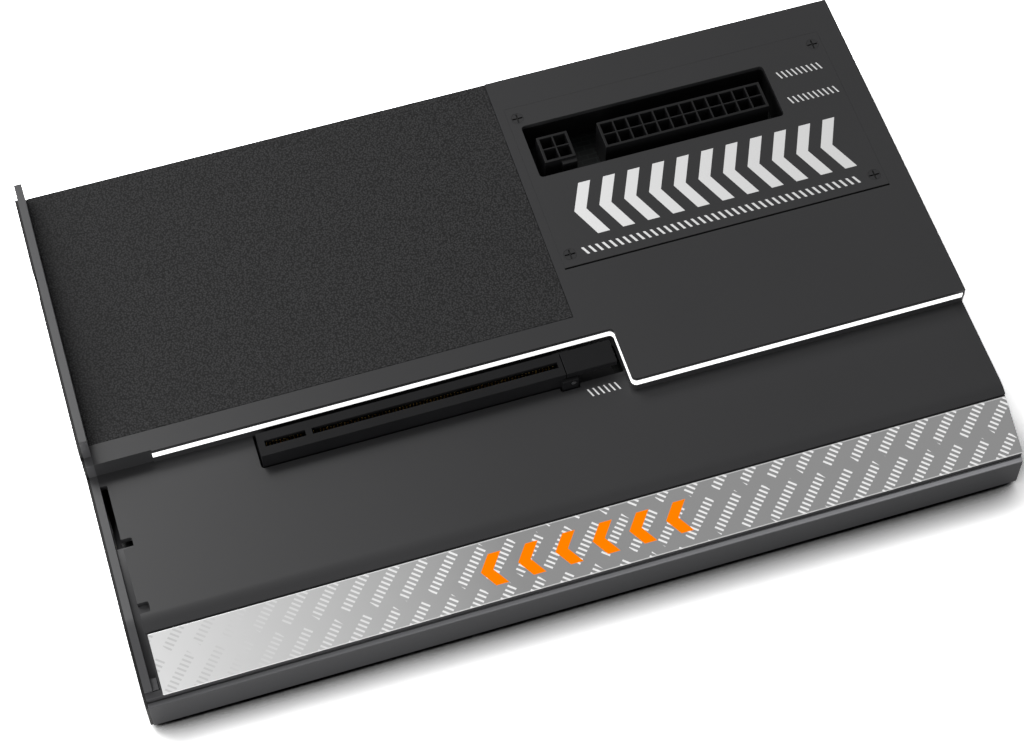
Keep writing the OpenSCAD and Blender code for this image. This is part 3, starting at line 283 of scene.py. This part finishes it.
class Recipe:
    """A material under construction: nodes are added by kind and joined by socket name."""

    def __init__(self, name):
        self.material = bpy.data.materials.new(name)
        self.material.use_nodes = True
        self.tree = self.material.node_tree
        self.tree.nodes.clear()
        self.out = self.tree.nodes.new("ShaderNodeOutputMaterial")
        self.place = 0

    def node(self, kind, settings=None, **sockets):
        """Adds a node of a kind, with its settings and what feeds its sockets."""
        made = self.tree.nodes.new("ShaderNode" + kind)
        self.place += 1
        made.location = (-200 * self.place, 0)
        for key, value in (settings or {}).items():
            setattr(made, key, value)
        for key, value in sockets.items():
            self.feed(made, key.replace("_", " "), value)
        return made

    def feed(self, made, socket, value):
        """Joins a socket, by name or number, to another or gives it a value."""
        target = made.inputs[int(socket)] if socket.isdigit() else made.inputs[socket]
        if isinstance(value, bpy.types.NodeSocket):
            self.tree.links.new(value, target)
        elif isinstance(value, bpy.types.Node):
            self.tree.links.new(value.outputs[0], target)
        else:
            target.default_value = value

    def object_place(self):
        return self.node("TexCoord").outputs["Object"]

    def noise(self, where, scale, detail=2.0):
        return self.node("TexNoise", Vector=where, Scale=scale, Detail=detail, Roughness=0.5).outputs["Fac"]

    def spread(self, value, low, high, start=0.0, end=1.0):
        """Maps start..end to low..high, and holds it within them."""
        made = self.node("MapRange", Value=value)
        for socket, number in (("From Min", start), ("From Max", end), ("To Min", low), ("To Max", high)):
            made.inputs[socket].default_value = number
        return made.outputs["Result"]

    def blend(self, share, first, second):
        """Mixes two colours by a share of the second."""
        made = self.node("Mix", {"data_type": "RGBA"})
        self.feed(made, "0", share)
        for socket, value in (("6", first), ("7", second)):
            if hasattr(value, "__len__"):
                value = (*value[:3], 1.0)
            self.feed(made, socket, value)
        return made.outputs[2]

    def mottle(self, noise, colour, dark, pale):
        """The colour, varied by a noise between two shares of itself."""
        return self.blend(self.spread(noise, 0.0, 1.0, *MIDDLE), shaded(colour, dark), shaded(colour, pale))

    def maths(self, how, first, second=0.0):
        made = self.node("Math", {"operation": how})
        self.feed(made, "0", first)
        self.feed(made, "1", second)
        return made.outputs[0]

    def within(self, value, low, high):
        """1 between low and high, else 0."""
        above = self.maths("GREATER_THAN", value, low)
        return self.maths("MULTIPLY", above, self.maths("LESS_THAN", value, high))

    def hatching(self, parts, area, pitch, fill, lean, folded=False):
        """1 on slanted strokes, or on chevrons where folded, inside area (x0, x1, y0, y1), else 0."""
        x0, x1, y0, y1 = area
        across = self.maths("SUBTRACT", parts.outputs["Y"], (y0 + y1) / 2)
        if folded:
            across = self.maths("ABSOLUTE", across)
        run = self.maths("ADD", parts.outputs["X"], self.maths("MULTIPLY", across, lean))
        steps = self.maths("DIVIDE", self.maths("SUBTRACT", run, x0), pitch)
        strokes = self.maths("LESS_THAN", self.maths("FRACT", steps), fill)
        inside = self.maths("MULTIPLY", self.within(run, x0, x1), self.within(parts.outputs["Y"], y0, y1))
        return self.maths("MULTIPLY", strokes, inside)

    def bump(self, height, strength, distance=FINE):
        return self.node("Bump", Height=height, Strength=strength, Distance=distance).outputs["Normal"]

    def surface(self, **sockets):
        """Adds the shader, fed by sockets, and gives the finished material."""
        bsdf = self.tree.nodes.new("ShaderNodeBsdfPrincipled")
        for key, value in sockets.items():
            if hasattr(value, "__len__") and len(value) == 3:
                value = (*value, 1.0)
            self.feed(bsdf, key.replace("_", " "), value)
        self.tree.links.new(bsdf.outputs[0], self.out.inputs["Surface"])
        return self.material


def shaded(colour, share):
    """The colour, made lighter or darker by a share."""
    return tuple(min(1.0, part * share) for part in colour)


def satin_metal(name, colour, rough, level=0.5, metal=0.0, ink=None, marks=(), lowest=0.0):
    """Painted or anodised metal with a fine grain, rougher where it leans forward, and hatched marks."""
    made = Recipe(name)
    where = made.object_place()
    cloud = made.noise(where, 14.0, 3.0)
    grain = made.noise(where, GRAIN)
    tint = made.mottle(cloud, colour, 0.95, 1.06)
    if marks:
        parts = made.node("SeparateXYZ", Vector=where)
        inked = made.hatching(parts, *marks[0])
        for mark in marks[1:]:
            inked = made.maths("MAXIMUM", inked, made.hatching(parts, *mark))
        inked = made.maths("MULTIPLY", inked, made.maths("GREATER_THAN", parts.outputs["Z"], lowest))
        tint = made.blend(inked, tint, ink)
        metal = inked
    facing = made.node("SeparateXYZ", Vector=made.node("NewGeometry").outputs["Normal"]).outputs["Y"]
    crown = made.maths("MULTIPLY", made.spread(facing, 0.0, 1.0, *LEANING),
                       made.maths("GREATER_THAN", facing, UPRIGHT))
    dull = made.maths("ADD", made.spread(grain, rough - 0.02, rough + 0.03),
                      made.maths("MULTIPLY", crown, ROUGHER))
    return made.surface(
        Base_Color=tint, Metallic=metal, Roughness=dull, Specular_IOR_Level=level,
        Normal=made.bump(grain, 0.04))


def beaded_metal(name, colour):
    """Satin metal of the front rail, with a painted highlight along the bead on its upper edge, brighter to
    the right.
    """
    made = Recipe(name)
    where = made.object_place()
    parts = made.node("SeparateXYZ", Vector=where)
    grain = made.noise(where, GRAIN)
    lower, upper, behind = BEAD_PLACE
    bead = made.maths("MULTIPLY", made.spread(parts.outputs["Z"], 0.0, 1.0, lower, upper),
                      made.maths("LESS_THAN", parts.outputs["Y"], behind))
    tint = made.mottle(grain, colour, 0.95, 1.05)
    # Painted highlight: the bead's colour grows brighter towards the right end
    bead_highlight = made.blend(made.spread(parts.outputs["X"], 0.0, 1.0, *HIGHLIGHT_FADE), colour,
                        shaded(colour, HIGHLIGHT_SHARE))
    return made.surface(
        Base_Color=made.blend(bead, tint, bead_highlight), Metallic=bead, Roughness=made.spread(grain, 0.36, 0.42),
        Specular_IOR_Level=0.05, Normal=made.bump(grain, 0.04))


def recessed_metal(name, colour, floor):
    """Satin metal of the flat screw heads, painted black as shade below the given height, in their cross
    recesses.
    """
    made = Recipe(name)
    where = made.object_place()
    parts = made.node("SeparateXYZ", Vector=where)
    grain = made.noise(where, GRAIN)
    # Painted shade: black below this height, in the cross recesses
    top = made.maths("GREATER_THAN", parts.outputs["Z"], floor)
    return made.surface(
        Base_Color=made.blend(top, shaded(colour, 0.05), made.blend(grain, shaded(colour, 0.9), colour)),
        Roughness=made.spread(grain, 0.38, 0.44), Specular_IOR_Level=0.2,
        Normal=made.bump(grain, 0.04))


def bare_metal(name, colour, rough):
    """Bare or plated metal with fine scratches and uneven polish."""
    made = Recipe(name)
    where = made.object_place()
    stretched = made.node("Mapping", Vector=where)
    stretched.inputs["Scale"].default_value = (1.0, 8.0, 1.0)
    scratches = made.noise(stretched.outputs[0], 900.0, 3.0)
    tint = made.mottle(scratches, colour, 0.85, 1.05)
    return made.surface(
        Base_Color=tint, Metallic=1.0, Roughness=made.spread(scratches, rough - 0.06, rough + 0.08),
        Normal=made.bump(scratches, 0.08))


def moulded(name, colour, rough, grain_scale=1800.0, level=0.5):
    """Moulded plastic with an eroded-tool grain."""
    made = Recipe(name)
    where = made.object_place()
    grain = made.noise(where, grain_scale, 3.0)
    patch = made.noise(where, 60.0)
    tint = made.mottle(patch, colour, 0.85, 1.15)
    return made.surface(
        Base_Color=tint, Roughness=made.spread(grain, rough - 0.05, rough + 0.08),
        Specular_IOR_Level=level, Normal=made.bump(grain, 0.1, 0.00002))


def grained_pad(name, colour):
    """Rubbery film with a fine pebbled grain."""
    made = Recipe(name)
    where = made.object_place()
    pebbles = made.node("TexVoronoi", {"feature": "F1"}, Vector=where, Scale=1750.0).outputs["Distance"]
    fine = made.noise(where, 2900.0)
    height = made.maths("ADD", made.spread(pebbles, 1.0, 0.0, 0.0, 0.7), made.maths("MULTIPLY", fine, 0.6))
    tint = made.blend(made.spread(height, 0.0, 1.0, 0.3, 1.3), shaded(colour, 0.3), shaded(colour, 1.95))
    return made.surface(
        Base_Color=tint, Roughness=made.spread(fine, 0.5, 0.7), Specular_IOR_Level=0.12,
        Normal=made.bump(height, 0.9, 0.0001))


def circuit_board(name):
    """Black solder mask over a faint net of copper tracks and pads."""
    made = Recipe(name)
    where = made.object_place()
    tracks = made.node("TexBrick", Vector=where, Scale=1.0)
    for socket, number in (("Mortar Size", 0.0002), ("Brick Width", 0.0046), ("Row Height", 0.0017),
                           ("Mortar Smooth", 0.2)):
        tracks.inputs[socket].default_value = number
    mask = tracks.outputs["Fac"]
    fine = made.noise(where, 900.0)
    tint = made.blend(mask, (0.0035, 0.0042, 0.0042), (0.009, 0.011, 0.0105))
    return made.surface(
        Base_Color=tint, Roughness=made.spread(fine, 0.3, 0.42), Specular_IOR_Level=0.1,
        Normal=made.bump(mask, 0.15, 0.00003))


def lit_bar(name, colour):
    """Milky light guide, lit from behind."""
    made = Recipe(name)
    where = made.object_place()
    milk = made.noise(where, 160.0)
    tint = made.mottle(milk, colour, 0.94, 1.0)
    return made.surface(
        Base_Color=tint, Roughness=0.35, Emission_Color=tint, Emission_Strength=GLOW)


def printed_strip(name, colours, sizes):
    """Bright metal strip, painted darker to the right as shade, with slanted rows of printed strokes and
    orange chevrons.
    """
    made = Recipe(name)
    where = made.object_place()
    parts = made.node("SeparateXYZ", Vector=where)
    along, across = parts.outputs["X"], parts.outputs["Y"]
    brushed_map = made.node("Mapping", Vector=where)
    brushed_map.inputs["Scale"].default_value = (0.04, 1.0, 1.0)
    brushed = made.noise(brushed_map.outputs[0], 2400.0)
    # Painted shade: the strip's colour darkens from its lit left end to its right end along X
    ground = made.blend(made.spread(along, 0.0, 1.0, *STRIP_SHADE_FADE), colours.strip_lit, colours.strip_shaded)
    turned = made.node("Mapping", Vector=where)
    turned.inputs["Rotation"].default_value = (0.0, 0.0, ROWS_TURN)
    rows = made.node("SeparateXYZ", Vector=turned.outputs[0])
    row = made.maths("DIVIDE", rows.outputs["Y"], sizes.print_pitch)
    height = made.maths("FRACT", row)
    number = made.maths("FLOOR", row)
    strokes = made.maths("ADD", made.maths("DIVIDE", rows.outputs["X"], sizes.stroke_pitch), height)
    groups = made.maths("ADD", made.maths("DIVIDE", rows.outputs["X"], sizes.stroke_pitch * GROUP_STROKES),
                        made.maths("MULTIPLY", number, GROUP_SHIFT))
    inked = made.maths("MULTIPLY", made.maths("LESS_THAN", made.maths("FRACT", strokes), STROKE_SHARE),
                       made.maths("MULTIPLY", made.maths("LESS_THAN", height, ROW_SHARE),
                                  made.maths("LESS_THAN", made.maths("FRACT", groups), GROUP_SHARE)))
    ink = made.blend(made.spread(along, 0.0, 1.0, *PRINT_FADE), shaded(colours.strip_print, 0.62),
                     colours.strip_print)
    orange = made.hatching(parts, *STRIP_CHEVRONS)
    # Painted highlight: outside this span, along the front and back edges, the colour blends towards the lit
    # pale end
    edge = made.maths("SUBTRACT", 1.0, made.within(across, *STRIP_EDGES))
    tint = made.blend(orange, made.blend(inked, ground, ink), colours.accent)
    tint = made.blend(made.maths("MULTIPLY", edge, 0.6), tint, colours.strip_lit)
    return made.surface(
        Base_Color=tint, Metallic=1.0, Roughness=made.spread(brushed, 0.34, 0.44),
        Normal=made.bump(brushed, 0.03))


def lamp(name, place, target, width, depth, power):
    """Adds a rectangular lamp that points from place to target."""
    bpy.ops.object.light_add(type="AREA", location=place)
    made = bpy.context.object
    made.name = name
    made.data.name = name
    made.data.shape = "RECTANGLE"
    made.data.size = width
    made.data.size_y = depth
    made.data.energy = power
    made.rotation_euler = (Vector(target) - Vector(place)).to_track_quat("-Z", "Y").to_euler()
    return made


def seen_directly(tree):
    """1 for camera, glossy and transmission rays, else 0."""
    path = tree.nodes.new("ShaderNodeLightPath")
    total = path.outputs["Is Camera Ray"]
    for socket in ("Is Glossy Ray", "Is Transmission Ray"):
        most = tree.nodes.new("ShaderNodeMath")
        most.operation = "MAXIMUM"
        tree.links.new(total, most.inputs[0])
        tree.links.new(path.outputs[socket], most.inputs[1])
        total = most.outputs[0]
    return total


def floor_finish(name, stage):
    """Pale floor, seen brighter than it lights, most so beside and behind the case, with a painted shadow
    along its foot.
    """
    made = Recipe(name)
    where = made.object_place()
    cloth = made.noise(where, 60.0)
    tint = made.blend(cloth, shaded(stage.floor_colour, 0.99), shaded(stage.floor_colour, 1.01))
    made.surface(Base_Color=tint, Roughness=0.9, Specular_IOR_Level=0.1)
    plain = made.out.inputs["Surface"].links[0].from_socket
    # Painted shadow: the floor's seen colour darkens where ambient occlusion finds the case close by
    near = made.node("AmbientOcclusion", {"samples": 16}, Distance=stage.shadow_reach).outputs["AO"]
    parts = made.node("SeparateXYZ", Vector=where)
    near = made.maths("MAXIMUM", near, made.spread(parts.outputs["X"], 1.0, 0.0, *SHADOW_FADE))
    behind = made.spread(parts.outputs["Y"], 1.0, stage.back_gain, *BACK_FADE)
    gain = made.maths("MULTIPLY", made.spread(near, 0.0, 1.0, *SHADOW_RANGE), stage.floor_gain)
    gain = made.maths("MULTIPLY", gain, behind)
    bright = made.node("VectorMath", {"operation": "SCALE"}, Vector=tint, Scale=gain)
    seen = made.node("BsdfDiffuse", Color=bright.outputs[0])
    both = made.tree.nodes.new("ShaderNodeMixShader")
    made.tree.links.new(seen_directly(made.tree), both.inputs[0])
    made.tree.links.new(plain, both.inputs[1])
    made.tree.links.new(seen.outputs[0], both.inputs[2])
    made.tree.links.new(both.outputs[0], made.out.inputs["Surface"])
    return made.material


def lay_floor(stage):
    """Adds the floor that the case stands on."""
    bpy.ops.mesh.primitive_plane_add(size=FLOOR_SIZE)
    floor = bpy.context.object
    floor.name = "floor"
    floor.data.materials.append(floor_finish("floor", stage))


def raise_sky(scene, stage):
    """Gives the scene an even light from all round, which is white where it is seen."""
    sky = bpy.data.worlds.new("sky")
    scene.world = sky
    sky.use_nodes = True
    tree = sky.node_tree
    tree.nodes.clear()
    out = tree.nodes.new("ShaderNodeOutputWorld")
    mixed = tree.nodes.new("ShaderNodeMixShader")
    for place, strength in ((1, stage.sky_level), (2, 1.0)):
        ground = tree.nodes.new("ShaderNodeBackground")
        ground.inputs["Color"].default_value = (1.0, 1.0, 1.0, 1.0)
        ground.inputs["Strength"].default_value = strength
        tree.links.new(ground.outputs[0], mixed.inputs[place])
    tree.links.new(seen_directly(tree), mixed.inputs[0])
    tree.links.new(mixed.outputs[0], out.inputs["Surface"])


def place_camera(scene, stage):
    """Adds the camera at the photograph's viewing angle."""
    bpy.ops.object.camera_add(location=stage.camera_place, rotation=stage.camera_turn)
    camera = bpy.context.object
    camera.name = "photo camera"
    camera.data.sensor_width = SENSOR_WIDTH
    camera.data.lens = stage.camera_lens
    camera.data.clip_start = NEAR_CLIP
    scene.camera = camera


class DOCK_OT_case(bpy.types.Operator):
    """Rounds and finishes the shell and the cover plate"""
    bl_idname = "dock.case"
    bl_label = "Case"

    def execute(self, context):
        sizes, colours = context.scene.dock_sizes, context.scene.dock_colours
        for node, name, share, marks, lowest in (
                ("top_shell", "case_shell", 1.0, DECK_MARKS, DECK_LEVEL),
                ("cover_plate", "bay_cover", 0.2, COVER_MARKS, COVER_LEVEL)):
            metal = satin_metal(name + " metal", colours.metal, *CASE_GLOSS, ink=colours.deck_print,
                                marks=marks, lowest=lowest)
            rework(node, name, sizes.edge_round * share, metal)
        return {"FINISHED"}


class DOCK_OT_ends(bpy.types.Operator):
    """Rounds and finishes the end plate and its black sheet, the end cap and both rails"""
    bl_idname = "dock.ends"
    bl_label = "Ends and rails"

    def execute(self, context):
        sizes, colours = context.scene.dock_sizes, context.scene.dock_colours
        plate = satin_metal("plate metal", colours.plate, rough=0.36, level=0.22)
        cap = satin_metal("cap metal", colours.metal, *CASE_GLOSS)
        # The rail is the case metal made 1.8 times lighter: painted light for its brightly lit front face
        beaded = beaded_metal("rail metal", shaded(colours.metal, 1.8))
        for node, name, finish, slot in (("left_end_plate", "end_plate", plate, "plate_metal"),
                                         ("right_end_cap", "end_cap", cap, "shell_metal"),
                                         ("front_rail", "rail", beaded, "plate_metal"),
                                         ("bracket_rail", "bracket_ledge", plate, "plate_metal")):
            rework(node, name, sizes.plate_round, finish)
        film = moulded("sheet film", colours.sheet, 0.5, grain_scale=1400.0, level=0.2)
        rework("side_sheet", "black_sheet", sizes.moulded_round, film)
        return {"FINISHED"}


class DOCK_OT_strip(bpy.types.Operator):
    """Finishes the bright printed strip on the front slope"""
    bl_idname = "dock.strip"
    bl_label = "Front strip"

    def execute(self, context):
        sizes, colours = context.scene.dock_sizes, context.scene.dock_colours
        rework("front_strip", "strip", sizes.edge_round * 0.6, printed_strip("strip metal", colours, sizes))
        return {"FINISHED"}


class DOCK_OT_pad(bpy.types.Operator):
    """Finishes the grained pad on the upper deck"""
    bl_idname = "dock.pad"
    bl_label = "Pad"

    def execute(self, context):
        sizes, colours = context.scene.dock_sizes, context.scene.dock_colours
        rework("grip_pad", "pad", sizes.edge_round * 0.5, grained_pad("pad grain", colours.pad))
        return {"FINISHED"}


class DOCK_OT_light(bpy.types.Operator):
    """Finishes the light bar and what lights it"""
    bl_idname = "dock.light"
    bl_label = "Light"

    def execute(self, context):
        sizes, colours = context.scene.dock_sizes, context.scene.dock_colours
        rework("light_bar", "lit_bar", sizes.edge_round * 0.5, lit_bar("lit bar", colours.light))
        film = moulded("amber film", (0.6, 0.35, 0.12), 0.4)
        dress("light_strip", film)
        dress("light_lead", film)
        dress("light_chips", moulded("light chip", (0.95, 0.85, 0.4), 0.25))
        dress("light_socket", moulded("pale plastic", (0.75, 0.73, 0.66), 0.45))
        return {"FINISHED"}


class DOCK_OT_slot(bpy.types.Operator):
    """Rounds and finishes the card slot and its latch"""
    bl_idname = "dock.slot"
    bl_label = "Card slot"

    def execute(self, context):
        sizes, colours = context.scene.dock_sizes, context.scene.dock_colours
        plastic = moulded("slot plastic", shaded(colours.plastic, 0.8), 0.45, level=0.08)
        for node, name in (("slot_housing", "slot_body"), ("slot_latch", "latch_lever")):
            rework(node, name, sizes.moulded_round, plastic)
        dress("slot_contacts", bare_metal("gold plate", (0.8, 0.6, 0.22), 0.3))
        dress("latch_pin", bare_metal("pin steel", (0.55, 0.55, 0.56), 0.3))
        return {"FINISHED"}


class DOCK_OT_headers(bpy.types.Operator):
    """Rounds and finishes the power headers and the well around them"""
    bl_idname = "dock.headers"
    bl_label = "Power headers"

    def execute(self, context):
        sizes, colours = context.scene.dock_sizes, context.scene.dock_colours
        plastic = moulded("header plastic", shaded(colours.plastic, 0.5), 0.42, level=0.15)
        for node, name in (("header_24_body", "large_header"), ("header_4_body", "small_header"),
                           ("well_liner", "well_wall")):
            rework(node, name, sizes.moulded_round, plastic, node == "well_liner")
        tin = bare_metal("tin plate", (0.6, 0.6, 0.58), 0.35)
        dress("header_24_pins", tin)
        dress("header_4_pins", tin)
        return {"FINISHED"}


class DOCK_OT_screws(bpy.types.Operator):
    """Rounds and finishes the screws"""
    bl_idname = "dock.screws"
    bl_label = "Screws"

    def execute(self, context):
        sizes, colours = context.scene.dock_sizes, context.scene.dock_colours
        black = bare_metal("black screw", (0.03, 0.03, 0.032), 0.4)
        flush = recessed_metal("flush screw", shaded(colours.metal, 0.9), RECESS_SHADE_LEVEL)
        for node, name, finish in (("cover_screws", "bay_screws", flush),
                                   ("end_screws", "plate_screws", black),
                                   ("cap_screws", "cap_fixings", black),
                                   ("base_screws", "base_fixings", black)):
            rework(node, name, sizes.moulded_round * 0.5, finish)
        steel = bare_metal("bright screw", (0.55, 0.55, 0.56), 0.3)
        dress("board_screws", steel)
        dress("storage_screw", steel)
        return {"FINISHED"}


class DOCK_OT_ports(bpy.types.Operator):
    """Finishes the ports and the power button"""
    bl_idname = "dock.ports"
    bl_label = "Ports and button"

    def execute(self, context):
        button = satin_metal("button metal", (0.11, 0.11, 0.115), 0.34, metal=1.0)
        rework("power_button", "button_cap", context.scene.dock_sizes.edge_round, button)
        shell = bare_metal("port shell", (0.62, 0.62, 0.6), 0.3)
        dress("small_port_shells", shell)
        dress("wide_port_shell", shell)
        black = moulded("port tongue", (0.015, 0.015, 0.015), 0.4)
        dress("small_port_tongues", black)
        dress("wide_port_tongue", moulded("blue tongue", (0.02, 0.08, 0.4), 0.4))
        dress("button_switch", black)
        return {"FINISHED"}


class DOCK_OT_inside(bpy.types.Operator):
    """Finishes the circuit board and what stands on it"""
    bl_idname = "dock.inside"
    bl_label = "Inside"

    def execute(self, context):
        dress("main_board", circuit_board("board mask"))
        chip = moulded("chip plastic", (0.015, 0.015, 0.016), 0.5)
        for node in ("controller_chip", "small_chips", "storage_socket"):
            dress(node, chip)
        brass = bare_metal("brass", (0.75, 0.6, 0.3), 0.3)
        for node in ("standoffs", "storage_post"):
            dress(node, brass)
        dress("storage_contacts", bare_metal("gold contact", (0.8, 0.6, 0.22), 0.3))
        dress("heat_sink", bare_metal("bare aluminium", (0.55, 0.55, 0.57), 0.35))
        dress("heat_sink_pins", moulded("push pin", (0.8, 0.8, 0.78), 0.4))
        dress("inductors", moulded("ferrite", (0.1, 0.1, 0.105), 0.6))
        dress("capacitors", bare_metal("can", (0.6, 0.6, 0.61), 0.25))
        dress("thermal_pad", moulded("soft pad", (0.3, 0.38, 0.5), 0.8))
        return {"FINISHED"}


class DOCK_OT_base(bpy.types.Operator):
    """Rounds and finishes the base plate and the feet"""
    bl_idname = "dock.base"
    bl_label = "Base"

    def execute(self, context):
        sizes = context.scene.dock_sizes
        paint = satin_metal("base paint", (0.03, 0.03, 0.032), 0.4)
        rework("base_plate", "base_sheet", sizes.moulded_round, paint)
        rubber = moulded("foot rubber", (0.012, 0.012, 0.012), 0.75, grain_scale=900.0)
        rework("feet", "foot_pads", sizes.edge_round, rubber)
        return {"FINISHED"}


class DOCK_OT_stage(bpy.types.Operator):
    """Sets up the floor, the lamps, the sky and the camera"""
    bl_idname = "dock.stage"
    bl_label = "Stage"

    def execute(self, context):
        scene, stage = context.scene, context.scene.dock_stage
        lay_floor(stage)
        raise_sky(scene, stage)
        lamp("key", *KEY_LAMP, stage.key_power)
        sheen = lamp("sheen", *SHEEN_LAMP, stage.sheen_power)
        sheen.visible_diffuse = False
        lamp("fill", *FILL_LAMP, stage.fill_power)
        place_camera(scene, stage)
        scene.view_settings.view_transform = "Standard"
        return {"FINISHED"}


PARTS = (DOCK_OT_case, DOCK_OT_ends, DOCK_OT_strip, DOCK_OT_pad, DOCK_OT_light, DOCK_OT_slot,
         DOCK_OT_headers, DOCK_OT_screws, DOCK_OT_ports, DOCK_OT_inside, DOCK_OT_base, DOCK_OT_stage)


class DOCK_PT_parts(bpy.types.Panel):
    """Lists the dock's pieces, sizes and colours"""
    bl_idname = "DOCK_PT_parts"
    bl_label = "Dock"
    bl_space_type = "VIEW_3D"
    bl_region_type = "UI"
    bl_category = "Dock"

    def draw(self, context):
        layout = self.layout
        for group in (context.scene.dock_sizes, context.scene.dock_colours, context.scene.dock_stage):
            box = layout.box()
            for key in group.__annotations__:
                box.prop(group, key)
        for part in PARTS:
            layout.operator(part.bl_idname)


CLASSES = (DockSizes, DockColours, DockStage, *PARTS, DOCK_PT_parts)


def register():
    for cls in CLASSES:
        bpy.utils.register_class(cls)
    bpy.types.Scene.dock_sizes = bpy.props.PointerProperty(type=DockSizes)
    bpy.types.Scene.dock_colours = bpy.props.PointerProperty(type=DockColours)
    bpy.types.Scene.dock_stage = bpy.props.PointerProperty(type=DockStage)


def unregister():
    for name in ("dock_sizes", "dock_colours", "dock_stage"):
        delattr(bpy.types.Scene, name)
    for cls in reversed(CLASSES):
        bpy.utils.unregister_class(cls)


def main():
    register()
    for part in PARTS:
        group, name = part.bl_idname.split(".")
        getattr(getattr(bpy.ops, group), name)()


if __name__ == "__main__":
    main()
